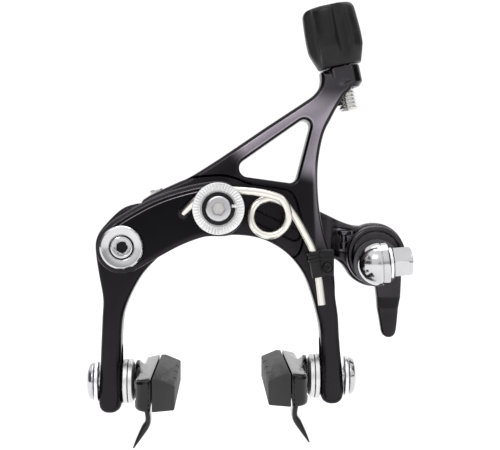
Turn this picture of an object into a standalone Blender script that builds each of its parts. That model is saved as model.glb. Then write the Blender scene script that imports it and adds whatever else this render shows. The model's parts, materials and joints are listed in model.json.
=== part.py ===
"""Dual-pivot rim brake caliper for a road bicycle.

The origin lies on the mounting bolt's axis, in the face of the serrated washer that meets the
frame. +Z is up, +Y points away from the frame and +X to the right as seen from the frame.
Sizes below are in millimetres; meshes are stored in metres.
"""

import math

import bmesh
import bpy
from mathutils import Matrix, Vector
from mathutils.geometry import tessellate_polygon

MM = 0.001
GAP = 0.3  # clearance between touching pieces
ROUND = 24  # sides of a turned piece

# Pivots and layers along Y
OFFSET_PIVOT = Vector((-25.0, 0, -10.0))
WASHER_RIM = 0.9
BRIDGE_FRONT, BRIDGE_BACK = 3.3, 9.0
Y_ARM_FRONT, Y_ARM_RECESS, Y_ARM_BACK = 8.3, 9.3, 16.5
C_ARM_FRONT, C_ARM_BACK = 17.0, 23.2
LIMB_FRONT, LIMB_BACK = 9.3, 17.4
THRUST_BACK = 9.9

# Mounting bolt
BOLT_RADIUS, BOLT_END = 3.0, -22.0
BOLT_FLANGE_RADIUS, BOLT_FLANGE = 5.4, (13.9, 15.9)

# Spring wire and coil
WIRE_RADIUS = 0.98
HUB_RADIUS = 3.9
COIL_CENTRE = Vector((13.2, 0, -2.2))
COIL_RADIUS = 4.75

# Barrel adjuster
BARREL_TOP = Vector((32.6, 12.8, 37.6))  # centre of the boss's upper face
BARREL_TILT = math.radians(12.0)
BARREL_UP = Vector((-math.sin(BARREL_TILT), 0, math.cos(BARREL_TILT)))
BOSS_RADIUS, BOSS_HEIGHT = 5.1, 5.8
STEM_RADIUS, STEM_BOTTOM, STEM_TOP = 2.5, -11.5, 12.5
KNOB_BOTTOM, KNOB_TOP = 0.4, 16.6
KNOB_FLUTES = 5
CABLE_RADIUS = 1.0

# Quick release and anchor
LEVER_AXIS = Vector((42.6, 0, -12.6))
LEVER_DISC_RADIUS, LEVER_DISC = 8.0, (13.6, 17.6)
ECCENTRICITY = 2.0
ANCHOR_TILT = math.radians(5.0)
ANCHOR_Y = 8.2
CARM_BOSS_FRONT, CARM_BOSS_BACK, CARM_BOSS_RADIUS = 18.6, 24.6, 8.7

# Brake shoes: side, limb faces, bolt height, braking face
PAD_Y = 13.35
PAD_FRONT, PAD_BACK = -10.8, 37.4
SLOT_HALF = 2.9
PADS = (
    {"side": "left", "sign": -1, "outer": 31.6, "inner": 25.6, "face": 10.9, "height": -46.2,
     "slot": (-49.3, -39.2)},
    {"side": "right", "sign": 1, "outer": 33.4, "inner": 27.2, "face": 12.4, "height": -45.0,
     "slot": (-47.2, -37.4)},
)


# ---------------------------------------------------------------- scene and materials

def clear_scene():
    for obj in list(bpy.data.objects):
        bpy.data.objects.remove(obj, do_unlink=True)


def paint(name, colour, roughness, metallic):
    material = bpy.data.materials.new(name)
    material.use_nodes = True
    shader = material.node_tree.nodes["Principled BSDF"]
    shader.inputs["Base Color"].default_value = (*colour, 1)
    shader.inputs["Roughness"].default_value = roughness
    shader.inputs["Metallic"].default_value = metallic
    return material


FINISHES = {
    "anodised": ((0.012, 0.010, 0.014), 0.22, 0.6),
    "chrome": ((0.86, 0.86, 0.87), 0.08, 1.0),
    "steel": ((0.66, 0.66, 0.66), 0.28, 1.0),
    "spring_wire": ((0.74, 0.72, 0.67), 0.3, 1.0),
    "bronze": ((0.55, 0.36, 0.17), 0.35, 1.0),
    "gloss_plastic": ((0.01, 0.01, 0.012), 0.2, 0.0),
    "matte_plastic": ((0.02, 0.02, 0.022), 0.45, 0.0),
    "rubber": ((0.03, 0.03, 0.03), 0.75, 0.0),
}


def add_object(name, mesh_bm, finish, pivot=None):
    """Turns a bmesh in millimetres into an object; pivot moves its origin onto a joint."""
    bmesh.ops.remove_doubles(mesh_bm, verts=mesh_bm.verts, dist=1e-4)
    bmesh.ops.recalc_face_normals(mesh_bm, faces=mesh_bm.faces)
    origin = (pivot or Vector()) * MM
    bmesh.ops.transform(mesh_bm, verts=mesh_bm.verts, matrix=Matrix.Scale(MM, 4))
    bmesh.ops.translate(mesh_bm, verts=mesh_bm.verts, vec=-origin)
    mesh = bpy.data.meshes.new(name)
    mesh_bm.to_mesh(mesh)
    mesh_bm.free()
    obj = bpy.data.objects.new(name, mesh)
    obj.location = origin
    bpy.context.scene.collection.objects.link(obj)
    if finish:
        mesh.materials.append(paint(name, *FINISHES[finish]))
        mesh.shade_smooth()
        mesh.set_sharp_from_angle(angle=math.radians(30))
    return obj


def add_cutter(name, mesh_bm):
    cutter = add_object(name, mesh_bm, None)
    cutter.hide_render = True
    cutter.display_type = "WIRE"
    return cutter


def combine(target, operation, *tools):
    for tool in tools:
        boolean = target.modifiers.new(tool.name, "BOOLEAN")
        boolean.operation = operation
        boolean.object = tool
        boolean.solver = "EXACT"


def cut(target, *meshes):
    first = len(target.modifiers)
    for number, mesh_bm in enumerate(meshes, first):
        combine(target, "DIFFERENCE", add_cutter(f"{target.name}_cut_{number}", mesh_bm))


# ---------------------------------------------------------------- outlines in the X-Z plane

def smooth(points, steps=3):
    """A curve through the points, by the Catmull-Rom rule."""
    ends = [2 * Vector(points[0]) - Vector(points[1]), 2 * Vector(points[-1]) - Vector(points[-2])]
    knots = [ends[0], *map(Vector, points), ends[1]]
    curve = []
    for a, b, c, d in zip(knots, knots[1:], knots[2:], knots[3:]):
        for step in range(steps):
            t = step / steps
            curve.append(0.5 * (2 * b + (c - a) * t + (2 * a - 5 * b + 4 * c - d) * t**2
                                + (3 * b - a - 3 * c + d) * t**3))
    return [tuple(p) for p in [*curve, knots[-2]]]


def arc(centre, radius, start, end, steps):
    """Points on a circle between two angles in degrees."""
    angles = [math.radians(start + (end - start) * i / steps) for i in range(steps + 1)]
    return [(centre[0] + radius * math.cos(a), centre[1] + radius * math.sin(a)) for a in angles]


def rounded(corners, steps=5):
    """A polygon whose corners (x, z, radius) are replaced by arcs."""
    outline = []
    for i, (x, z, radius) in enumerate(corners):
        here = Vector((x, z))
        before = (Vector(corners[i - 1][:2]) - here).normalized()
        after = (Vector(corners[(i + 1) % len(corners)][:2]) - here).normalized()
        half = before.angle(after) / 2
        centre = here + (before + after).normalized() * radius / math.sin(half)
        first = here + before * radius / math.tan(half) - centre
        last = here + after * radius / math.tan(half) - centre
        turn = first.angle_signed(last)
        for step in range(steps + 1):
            offset = first.copy()
            offset.rotate(Matrix.Rotation(-turn * step / steps, 2))
            outline.append(tuple(centre + offset))
    return outline


def pill(start, end, radius, steps=6):
    """A slot outline between two end centres."""
    along = Vector(end) - Vector(start)
    heading = math.degrees(math.atan2(along.y, along.x))
    return (arc(end, radius, heading - 90, heading + 90, steps)
            + arc(start, radius, heading + 90, heading + 270, steps))


def tidy(outline):
    """Leaves out points that repeat the one before."""
    kept = []
    for point in outline:
        if not kept or (Vector(point) - Vector(kept[-1])).length > 1e-3:
            kept.append(point)
    if (Vector(kept[0]) - Vector(kept[-1])).length < 1e-3:
        kept.pop()
    return kept


# ---------------------------------------------------------------- solids

XZ = Matrix(((1, 0, 0, 0), (0, 0, 1, 0), (0, 1, 0, 0), (0, 0, 0, 1)))  # outline plane X-Z, depth Y
YZ = Matrix(((0, 0, 1, 0), (1, 0, 0, 0), (0, 1, 0, 0), (0, 0, 0, 1)))  # outline plane Y-Z, depth X
XY = Matrix.Identity(4)  # outline plane X-Y, depth Z


def prism(outline, low, high, plane=XZ, holes=()):
    """The outline, with any holes, extruded from low to high."""
    loops = [tidy(loop) for loop in (outline, *holes)]
    flat = [[Vector((*point, 0)) for point in loop] for loop in loops]
    bm = bmesh.new()
    ends = [[bm.verts.new((*point, depth)) for loop in loops for point in loop] for depth in (low, high)]
    for triangle in tessellate_polygon(flat):
        for end in ends:
            bm.faces.new([end[i] for i in triangle])
    start = 0
    for loop in loops:
        for i in range(len(loop)):
            a, b = start + i, start + (i + 1) % len(loop)
            bm.faces.new((ends[0][a], ends[0][b], ends[1][b], ends[1][a]))
        start += len(loop)
    bmesh.ops.transform(bm, verts=bm.verts, matrix=plane)
    return bm


def aim(origin, direction):
    """Maps local +Z onto the direction, at the origin."""
    turn = Vector((0, 0, 1)).rotation_difference(Vector(direction)).to_matrix().to_4x4()
    return Matrix.Translation(origin) @ turn


ALONG_Y = Vector((0, 1, 0))


def turned(profile, matrix, sides=ROUND, ring=False):
    """A profile of (radius, height) spun about its axis; a ring's profile closes on itself."""
    bm = bmesh.new()
    hoops = []
    for radius, height in profile:
        if radius == 0:
            hoops.append([bm.verts.new((0, 0, height))])
            continue
        angles = (2 * math.pi * i / sides for i in range(sides))
        hoops.append([bm.verts.new((radius * math.cos(a), radius * math.sin(a), height)) for a in angles])
    for below, above in zip(hoops, hoops[1:] + hoops[:1] if ring else hoops[1:]):
        for i in range(sides):
            j = (i + 1) % sides
            low_pair = below[i % len(below)], below[j % len(below)]
            high_pair = above[j % len(above)], above[i % len(above)]
            bm.faces.new(list(dict.fromkeys(low_pair + high_pair)))
    bmesh.ops.transform(bm, verts=bm.verts, matrix=matrix)
    return bm


def rod(radius, low, high, matrix, sides=ROUND):
    return turned([(0, low), (radius, low), (radius, high), (0, high)], matrix, sides)


def tube(inner, outer, low, high, matrix, sides=ROUND):
    return turned([(inner, low), (outer, low), (outer, high), (inner, high)], matrix, sides, ring=True)


def hexagon(across_flats, low, high, matrix):
    return rod(across_flats / math.sqrt(3), low, high, matrix, 6)


def block(low, high):
    bm = bmesh.new()
    bmesh.ops.create_cube(bm, size=1)
    size = Vector(high) - Vector(low)
    centre = (Vector(high) + Vector(low)) / 2
    bmesh.ops.transform(bm, verts=bm.verts, matrix=Matrix.Translation(centre) @ Matrix.Diagonal((*size, 1)))
    return bm


# ---------------------------------------------------------------- pieces fixed to the frame

CENTRE = aim((0, 0, 0), ALONG_Y)
OFFSET = aim(OFFSET_PIVOT, ALONG_Y)


def mounting_bolt():
    tip = 0.5
    profile = [(0, BOLT_END), (BOLT_RADIUS - tip, BOLT_END), (BOLT_RADIUS, BOLT_END + tip),
               (BOLT_RADIUS, BOLT_FLANGE[0]), (BOLT_FLANGE_RADIUS, BOLT_FLANGE[0]),
               (BOLT_FLANGE_RADIUS, BOLT_FLANGE[1] - tip), (BOLT_FLANGE_RADIUS - tip, BOLT_FLANGE[1]),
               (0, BOLT_FLANGE[1])]
    bolt = add_object("mounting_bolt", turned(profile, CENTRE), "steel")
    cut(bolt, hexagon(4.0, BOLT_END - 1, BOLT_END + 3.5, CENTRE))


def washer_set():
    bore, seat, rim = BOLT_RADIUS + GAP, 4.6, 6.7
    profile = [(bore, BRIDGE_FRONT - GAP), (bore, 0.7), (seat, 0.7), (seat, 0), (rim, 0),
               (rim, WASHER_RIM), (HUB_RADIUS, WASHER_RIM), (HUB_RADIUS, BRIDGE_FRONT - GAP)]
    add_object("serrated_washer", turned(profile, CENTRE, 40, ring=True), "chrome")
    ring = add_object("split_ring", tube(bore, seat - GAP, -0.1, 0.4, CENTRE), "matte_plastic")
    cut(ring, block((bore - 1, -1, 0.3), (seat + 1, 1, 1.2)))


def bridge_outline():
    top = [(-0.3, 7.2), (-4.3, 6.7), (-9.5, 5.5), (-14.8, 3.8), (-20.1, 1.4), (-26.7, -2.5), (-30.6, -5.9)]
    bottom = [(-21.6, -16.0), (-15.4, -12.5), (-9.5, -9.4), (-4.3, -7.5), (-1.2, -7.1)]
    pivot = (OFFSET_PIVOT.x, OFFSET_PIVOT.z)
    return arc((0, 0), 7.2, -99, 92, 12) + smooth(top) + arc(pivot, 6.9, 144, 299, 10) + smooth(bottom)


def bridge():
    body = add_object("bridge", prism(bridge_outline(), BRIDGE_FRONT, BRIDGE_BACK), "anodised")
    cut(body, rod(BOLT_RADIUS + 0.05, 0, 12, CENTRE), rod(2.55, 0, 12, OFFSET),
        prism(pill((-9.3, -1.5), (-5.0, 2.9), 1.5), 0, BRIDGE_FRONT + 2.2),
        rod(5.8, 0, BRIDGE_FRONT + 0.2, OFFSET))


def offset_pivot():
    shank, head = 2.5, 2.85
    head_front, seat = 1.9, 3.8
    bolt = add_object("offset_pivot_bolt", turned(
        [(0, head_front), (head - 0.3, head_front), (head, head_front + 0.3), (head, seat - 0.6),
         (shank, seat - 0.6), (shank, 23.4), (0, 23.4)], OFFSET), "chrome")
    cut(bolt, turned([(0, 1.0), (1.9, 1.0), (1.9, 3.9), (0, 4.9)], OFFSET, 12))
    dish = [(head + GAP, 2.9), (head + GAP, 1.9), (5.5, 1.6), (5.6, 1.9), (5.6, 3.2), (head + GAP, 3.2)]
    add_object("offset_cone_washer", turned(dish, OFFSET, 36, ring=True), "chrome")
    nut = add_object("offset_pivot_nut", hexagon(8.0, 20.3, 23.0, OFFSET), "steel")
    cut(nut, rod(shank + 0.05, 19, 25, OFFSET))


def thrust_washers():
    low = BRIDGE_BACK + GAP
    add_object("centre_thrust_washer", tube(3.3, 5.4, low, THRUST_BACK, CENTRE), "steel")
    add_object("offset_thrust_washer", tube(2.8, 5.2, low, THRUST_BACK, OFFSET), "steel")


def spring_route():
    """From the tip in the bridge's slot, over the washer's hub, once round the coil, and down the limb."""
    over_hub = HUB_RADIUS + WIRE_RADIUS + 0.15
    lead = [Vector((-9.0, 4.6, -1.2)), Vector((-7.4, 3.4, 0.5)), Vector((-5.6, 2.3, 2.3))]
    hub = [Vector((over_hub * math.cos(a), 2.1, over_hub * math.sin(a)))
           for a in (math.radians(d) for d in (125, 110, 95, 84))]
    top = [Vector((4.0, 2.05, 4.75)), Vector((8.2, 2.0, 4.5)), Vector((12.0, 2.0, 4.0))]
    coil = []
    turns, steps = 1.12, 26
    for step in range(steps + 1):
        t = step / steps
        angle = math.radians(62) - 2 * math.pi * turns * t
        spread = 1.0 * abs(2 * t - 1) ** 5
        radius = COIL_RADIUS + spread
        coil.append(COIL_CENTRE + Vector((radius * math.cos(angle), 2.0 + 2.5 * t, radius * math.sin(angle))))
    leg = [Vector((20.7, 4.9, -3.2)), Vector((22.9, 5.6, -7.2)), Vector((24.9, 6.2, -10.9)),
           Vector((25.9, 6.3, -15.5)), Vector((26.6, 6.3, -20.0)), Vector((27.2, 6.3, -25.3))]
    return lead + hub + top + coil + leg


def return_spring():
    route = spring_route()
    curve = bpy.data.curves.new("return_spring", "CURVE")
    curve.dimensions = "3D"
    line = curve.splines.new("POLY")
    line.points.add(len(route) - 1)
    for point, place in zip(line.points, route):
        point.co = (*place * MM, 1)
    curve.bevel_depth = WIRE_RADIUS * MM
    curve.bevel_resolution = 2
    curve.use_fill_caps = True
    curve.materials.append(paint("return_spring", *FINISHES["spring_wire"]))
    bpy.context.scene.collection.objects.link(bpy.data.objects.new("return_spring", curve))


# ---------------------------------------------------------------- Y arm

def y_arm_outline():
    arch = [(1.5, -7.35), (4.5, -7.0), (9.9, -7.6), (14.6, -9.4), (19.0, -12.6), (22.6, -17.3),
            (24.9, -23.2), (26.4, -28.8), (26.95, -31.5), (27.2, -35.0), (27.2, -48.9)]
    foot = [(27.2, -48.9), (27.7, -50.9), (29.0, -51.9), (30.5, -52.1), (31.9, -51.8), (33.0, -50.7),
            (33.4, -48.9)]
    outer = [(33.4, -48.9), (33.2, -44.3), (32.3, -35.0), (31.9, -29.0), (31.1, -23.6), (30.9, -19.5),
             (30.2, -13.6), (28.2, -7.5), (26.8, -0.1), (26.3, 7.2), (26.6, 13.5), (27.9, 19.8),
             (29.9, 24.0), (31.6, 27.2), (33.3, 30.0)]
    head = [(35.1, 31.6), (35.8, 33.5), (34.8, 37.3), (27.2, 36.2)]
    strut = [(27.2, 36.2), (27.3, 34.2), (26.9, 32.3), (25.7, 30.6), (23.4, 28.7), (12.8, 21.7), (2.6, 14.8),
             (-2.6, 11.4), (-7.5, 8.4), (-10.3, 7.2), (-14.5, 5.3), (-18.3, 3.5)]
    tail = [(-18.3, 3.5), (-20.3, 1.9), (-20.4, -0.6), (-18.5, -2.0)]
    back = [(-18.5, -2.0), (-13.0, -3.6), (-8.0, -6.0), (-3.5, -7.2), (1.5, -7.35)]
    return smooth(arch) + smooth(foot, 2) + smooth(outer) + head + smooth(strut) + smooth(tail) + smooth(back)


WINDOW = rounded([(1.5, 9.2, 2.4), (20.4, 6.6, 2.1), (25.4, 25.9, 1.7)])
BARREL = aim(BARREL_TOP, BARREL_UP)


def barrel_bore():
    return rod(STEM_RADIUS + 0.08, -12, 3, BARREL)


def slot_cutter(pad):
    """The slot through the limb that the shoe's bolt passes, long enough to set the reach."""
    low, high = pad["slot"]
    outline = pill((PAD_Y, low), (PAD_Y, high), SLOT_HALF)
    ends = sorted(pad["sign"] * (pad[face] + grow) for face, grow in (("inner", -4), ("outer", 4)))
    return prism(outline, *ends, plane=YZ)


def y_arm():
    side = [(Y_ARM_FRONT, 46), (Y_ARM_FRONT, -24), (LIMB_FRONT, -32), (LIMB_FRONT, -60),
            (LIMB_BACK, -60), (LIMB_BACK, -30), (Y_ARM_BACK, -22), (Y_ARM_BACK, 46)]
    arm = add_object("y_arm", prism(y_arm_outline(), 5, 24, holes=[WINDOW]), "anodised")
    combine(arm, "INTERSECT", add_cutter("y_arm_side_view", prism(side, -30, 50, plane=YZ)))
    combine(arm, "UNION", add_cutter("y_arm_boss", rod(BOSS_RADIUS, -BOSS_HEIGHT, 0, BARREL)))
    hollow = smooth([(-26, 12), (-14, 7.9), (-6, 8.7), (2, 9.0), (9, 6.7), (15, 5.8), (19.6, 4.4),
                     (21.8, -1.0), (22.8, -7.0), (20.5, -13.0), (12, -12.5), (2, -12),
                     (-12, -14), (-26, -14)], 2)
    cut(arm, prism(hollow, 5, Y_ARM_RECESS),
        prism(pill((9.0, -1.6), (20.2, -7.0), 1.8), 5, Y_ARM_RECESS + 3),
        rod(5.7, 5, THRUST_BACK + GAP, CENTRE),
        rod(4.5, 5, 20, CENTRE),
        rod(BOLT_FLANGE_RADIUS + GAP, BOLT_FLANGE[0] - GAP, 20, CENTRE),
        barrel_bore(), slot_cutter(PADS[1]))
    add_object("centre_bush", tube(3.05, 4.2, THRUST_BACK + GAP, BOLT_FLANGE[0] - GAP, CENTRE), "bronze")


GUIDE_TOP, GUIDE_BOTTOM = Vector((24.95, 6.25, -11.2)), Vector((26.3, 6.3, -18.0))


def spring_guide():
    """Sleeve for the spring's leg, with a foot that a small screw holds on the limb."""
    along = GUIDE_TOP - GUIDE_BOTTOM
    sleeve = aim(GUIDE_BOTTOM, along)
    foot = block((25.9, 5.0, -17.6), (30.2, 8.0, -10.6))
    guide = add_object("spring_guide", foot, "matte_plastic")
    combine(guide, "UNION", add_cutter("guide_sleeve", rod(1.65, 0, along.length, sleeve, 16)))
    cut(guide, rod(WIRE_RADIUS + 0.3, -2, along.length + 2, sleeve, 16),
        rod(0.8, 3, 9, aim((28.5, 0, -15.3), ALONG_Y), 12),
        rod(1.45, 3, 5.8, aim((28.5, 0, -15.3), ALONG_Y), 16))
    screw = [(0, 4.6), (0.9, 4.7), (1.15, 5.0), (1.15, 5.5), (0.5, 5.5), (0.5, 7.7), (0, 7.7)]
    add_object("guide_screw", turned(screw, aim((28.5, 0, -15.3), ALONG_Y), 16), "matte_plastic")


# ---------------------------------------------------------------- C arm

CENTRING_AXIS = aim((-16.4, 20.0, 3.0), (-0.25, 0, 0.97))


def c_arm_outline():
    inner = [(-25.6, -51.0), (-25.7, -38.0), (-25.6, -32.0), (-24.8, -26.8), (-22.1, -20.5), (-18.6, -15.5),
             (-12.3, -10.0), (-6.0, -7.4), (0.0, -6.3), (8.0, -6.5), (15.0, -8.2), (24.0, -11.2),
             (30.9, -13.4), (33.6, -15.0), (35.5, -17.5)]
    top = [(38.9, -4.7), (36.3, -4.4), (33.4, -3.4), (30.3, -2.0), (22.0, 1.7), (12.0, 4.4), (2.0, 5.6),
           (-8.0, 4.9), (-15.0, 3.3), (-20.0, 1.8), (-25.3, 0.1), (-30.0, -4.3), (-32.1, -7.5),
           (-32.5, -11.0), (-31.7, -17.0), (-30.6, -23.6), (-30.8, -29.0), (-31.2, -38.0), (-31.8, -50.5)]
    foot = [(-31.8, -50.5), (-31.5, -52.8), (-30.4, -54.0), (-28.8, -54.3), (-27.3, -54.0), (-26.0, -52.8),
            (-25.6, -51.0)]
    boss = arc((LEVER_AXIS.x, LEVER_AXIS.z), CARM_BOSS_RADIUS, 215, 475, 22)
    return smooth(inner) + boss + smooth(top) + smooth(foot, 2)


def c_arm():
    plan = [(-40, LIMB_FRONT), (-14.5, LIMB_FRONT), (-14.5, C_ARM_FRONT), (30, C_ARM_FRONT),
            (33.5, CARM_BOSS_FRONT), (60, CARM_BOSS_FRONT), (60, CARM_BOSS_BACK), (30, CARM_BOSS_BACK),
            (20, C_ARM_BACK), (-12, C_ARM_BACK), (-19.0, 20.0), (-40, 20.0)]
    side = [(5, 20), (28, 20), (28, -18), (LIMB_BACK, -26), (LIMB_BACK, -60), (5, -60)]
    arm = add_object("c_arm", prism(c_arm_outline(), 5, 28), "anodised", OFFSET_PIVOT)
    combine(arm, "INTERSECT", add_cutter("c_arm_plan", prism(plan, -70, 30, plane=XY)),
            add_cutter("c_arm_side_view", prism(side, -50, 60, plane=YZ)))
    pocket = rounded([(31.0, -4.6, 0.8), (31.0, -11.4, 1.2), (37.4, -13.0, 1.2), (37.4, -5.8, 0.8)], 3)
    swing = rounded([(-21.8, 12, 1.0), (-21.8, -7.4, 2.0), (-15.4, -11.0, 1.5), (-14.8, -20, 1.0),
                     (0, 0, 1.0)], 3)
    cut(arm, prism(swing, 5, C_ARM_FRONT), rod(3.95, 5, 24, OFFSET), rod(5.5, 5, THRUST_BACK + GAP, OFFSET),
        rod(2.8, 15, 28, aim(LEVER_AXIS, ALONG_Y)),
        prism(pocket, 10, CARM_BOSS_FRONT + 3.2),
        rod(1.35, -6.5, 6, CENTRING_AXIS, 16),
        slot_cutter(PADS[0]))
    add_object("offset_bush", tube(2.55, 3.65, THRUST_BACK + GAP, 19.7, OFFSET), "bronze")


def small_screws():
    profile = [(0, -5.5), (1.0, -5.5), (1.0, 0.45), (1.8, 0.45), (1.8, 2.2), (1.5, 2.5), (0, 2.5)]
    screw = add_object("centring_screw", turned(profile, CENTRING_AXIS, 18), "steel")
    cut(screw, rod(0.95, 1.0, 4, CENTRING_AXIS, 6))
    stop = [(0, -11.1), (1.4, -11.1), (1.4, -9.2), (0.9, -9.0), (0.9, -7.4),
            (2.0, -7.2), (2.0, -6.2), (0, -5.9)]
    add_object("stop_screw", turned(stop, Matrix.Translation((34.4, 19.6, 0)), 18), "anodised")


# ---------------------------------------------------------------- quick release and cable anchor

LEVER = aim(LEVER_AXIS, ALONG_Y)
ANCHOR_CENTRE = LEVER_AXIS + Vector((0, ANCHOR_Y, -ECCENTRICITY))
ANCHOR_ALONG = Vector((math.cos(ANCHOR_TILT), 0, math.sin(ANCHOR_TILT)))
ANCHOR = aim(ANCHOR_CENTRE, ANCHOR_ALONG)
STUD = aim(LEVER_AXIS - Vector((0, 0, ECCENTRICITY)), ALONG_Y)


def lever_outline():
    """Round disc with a tapered tail hanging below it."""
    x, z = LEVER_AXIS.x, LEVER_AXIS.z
    disc = arc((x, z), LEVER_DISC_RADIUS, -30, 268, 26)
    tail = [disc[-1], (x + 0.4, z - 13.0), (x + 1.3, z - 18.0), (x + 1.8, z - 20.9), (x + 2.6, z - 22.1),
            (x + 3.8, z - 22.5), (x + 5.0, z - 22.1), (x + 5.7, z - 20.9), (x + 6.1, z - 18.0),
            (x + 6.5, z - 13.0), disc[0]]
    return disc + smooth(tail)


def quick_release():
    front, back = LEVER_DISC
    low = LEVER_AXIS.z - 11.5
    side = [(front, 10), (front, low), (front + 2.6, low - 2.6), (front + 2.6, -60), (back + 1.9, -60),
            (back + 1.9, low - 2.4), (back, low - 0.4), (back, 10)]
    lever = add_object("qr_lever", prism(lever_outline(), 5, 28), "anodised", LEVER_AXIS)
    combine(lever, "INTERSECT", add_cutter("qr_lever_side_view", prism(side, 20, 60, plane=YZ)))
    cut(lever, rod(2.55, 15.9, 20, LEVER), rod(2.25, 10, 15.3, STUD))
    shaft = [(0, 16.2), (2.5, 16.2), (2.5, 27.2), (2.2, 27.5), (0, 27.5)]
    add_object("lever_shaft", turned(shaft, LEVER), "steel")
    add_object("lever_wave_washer", tube(2.85, 6.0, 17.9, 18.3, LEVER), "steel")
    nut = add_object("lever_nut", hexagon(8.0, 24.9, 27.0, LEVER), "steel")
    cut(nut, rod(2.55, 24, 28, LEVER))


def anchor():
    dome = 5.75
    ball = [(0, -dome)] + [(dome * math.cos(a), dome * math.sin(a)) for a in
                           (math.radians(d) for d in range(-78, 1, 13))]
    profile = ball + [(dome - 0.1, 0.2), (5.5, 0.35), (5.5, 2.2), (0, 2.2)]
    body = add_object("anchor_body", turned(profile, ANCHOR), "chrome", ANCHOR_CENTRE)
    neck = [(0, 9.0), (2.1, 9.0), (2.1, 12.7), (6.5, 12.7), (6.5, 13.3), (2.0, 13.3), (2.0, 15.0), (0, 15.0)]
    cut(body, block((20, 13.0, -40), (60, 20, 10)))
    combine(body, "UNION", add_cutter("anchor_neck", turned(neck, STUD)))
    cut(body, rod(1.9, -2.0, 6, ANCHOR, 16))
    add_object("clamp_washer", tube(1.95, 4.2, 2.5, 3.3, ANCHOR), "chrome", ANCHOR_CENTRE)
    bolt = add_object("anchor_bolt", rod(1.6, -1.5, 5.0, ANCHOR, 16), "chrome", ANCHOR_CENTRE)
    head = [(0, 3.6), (4.3, 3.6), (4.3, 7.3), (3.7, 8.5), (0, 8.5)]
    combine(bolt, "UNION", add_cutter("anchor_bolt_head", turned(head, ANCHOR, 6)))
    cut(bolt, hexagon(4.0, 5.6, 12, ANCHOR))


# ---------------------------------------------------------------- barrel adjuster

def adjuster():
    profile = [(2.75, KNOB_BOTTOM), (5.6, KNOB_BOTTOM), (6.2, 1.5), (7.6, 5.2), (7.6, 8.5),
               (7.2, KNOB_TOP - 2.0), (6.6, KNOB_TOP - 0.6), (5.6, KNOB_TOP), (4.4, KNOB_TOP), (4.4, 12.8),
               (2.75, 12.8)]
    knob = add_object("adjuster_knob", turned(profile, BARREL, 24, ring=True), "matte_plastic", BARREL_TOP)
    flutes = []
    for i in range(KNOB_FLUTES):
        angle = 2 * math.pi * i / KNOB_FLUTES - math.radians(4)
        reach = Vector((9.2 * math.cos(angle), 9.2 * math.sin(angle), 0))
        flutes.append(rod(2.9, -1, 19, BARREL @ Matrix.Translation(reach), 14))
    cut(knob, *flutes)
    stem = add_object("adjuster_stem", tube(CABLE_RADIUS, STEM_RADIUS, STEM_BOTTOM, STEM_TOP, BARREL, 20),
                      "steel", BARREL_TOP)
    slit = block((-5, -0.35, -20), (5, 0.35, -4.0))
    bmesh.ops.transform(slit, verts=slit.verts, matrix=BARREL @ Matrix.Rotation(math.radians(90), 4, "Z"))
    cut(stem, slit)
    cup = [(CABLE_RADIUS, 13.1), (4.1, 13.1), (4.1, KNOB_TOP + 0.5), (2.7, KNOB_TOP + 0.5), (2.7, 14.0),
           (CABLE_RADIUS, 14.0)]
    add_object("housing_seat", turned(cup, BARREL, 24, ring=True), "steel", BARREL_TOP)


# ---------------------------------------------------------------- brake shoes

def shoe_outline(pad):
    """Section of the shoe in X-Z, from its boss to the rubber's backing face."""
    s, z = pad["sign"], pad["height"] - 0.3
    back, front = pad["face"] + 5.9, pad["face"] + 10.0
    section = [(front, z + 3.8, 1.4), (front, z - 3.7, 1.4), (back, z - 4.3, 0.5), (back, z + 4.6, 0.5)]
    return rounded([(s * x, zz, r) for x, zz, r in section], 3)


def insert_outline(pad):
    """Section of the rubber: tall at its backing, with a sloping top down to the braking face."""
    s, z, face = pad["sign"], pad["height"] - 0.3, pad["face"]
    back = face + 5.6
    section = [(back, z - 3.9, 0.3), (face, z - 3.4, 0.4), (face, z + 2.6, 0.4), (face + 4.4, z + 4.4, 0.4),
               (back, z + 4.3, 0.2)]
    return rounded([(s * x, zz, r) for x, zz, r in section], 2)


def plan_curve(pad, inner, outer, round_end):
    """Plan view in X-Y of a piece along the rim, its ends rounded towards the limb."""
    s = pad["sign"]
    x0, x1 = pad["face"] + inner, pad["face"] + outer
    corners = [(s * x0, PAD_FRONT, 0.4), (s * x0, PAD_BACK, 0.4), (s * x1, PAD_BACK, round_end),
               (s * x1, PAD_FRONT, round_end)]
    return rounded(corners, 5)


def wheel_guide(pad):
    """Curved fin below the shoe's end that steers a wheel between the shoes."""
    s, z, face = pad["sign"], pad["height"] - 0.3, pad["face"]
    inside = [(face + 6.1, z - 3.0), (face + 5.8, z - 6.0), (face + 6.3, z - 8.0), (face + 8.2, z - 10.7),
              (face + 9.9, z - 12.9)]
    outside = [(face + 10.4, z - 12.7), (face + 9.7, z - 10.7), (face + 8.4, z - 7.8), (face + 7.4, z - 6.0),
               (face + 7.8, z - 3.0)]
    return [(s * x, zz) for x, zz in smooth(inside) + smooth(outside)]


def shoe_shoulder(pad, top):
    """Boss round the bolt that widens into the back of the shoe."""
    s, z, face = pad["sign"], pad["height"], pad["face"]
    corners = [(face + 8.0, y, z - 0.3 + rise) for y in (PAD_Y - 13, PAD_Y + 13) for rise in (-3.6, 3.7)]
    rims = [(depth, radius * math.cos(a) + PAD_Y, radius * math.sin(a) + z)
            for depth, radius in ((top, 5.4), (top - 0.3, 5.7), (top - 1.0, 5.7))
            for a in (2 * math.pi * i / ROUND for i in range(ROUND))]
    bm = bmesh.new()
    points = [bm.verts.new((s * x, y, height)) for x, y, height in corners + rims]
    bmesh.ops.convex_hull(bm, input=points, use_existing_faces=False)
    bmesh.ops.delete(bm, geom=[point for point in bm.verts if not point.link_faces], context="VERTS")
    return bm


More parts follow.
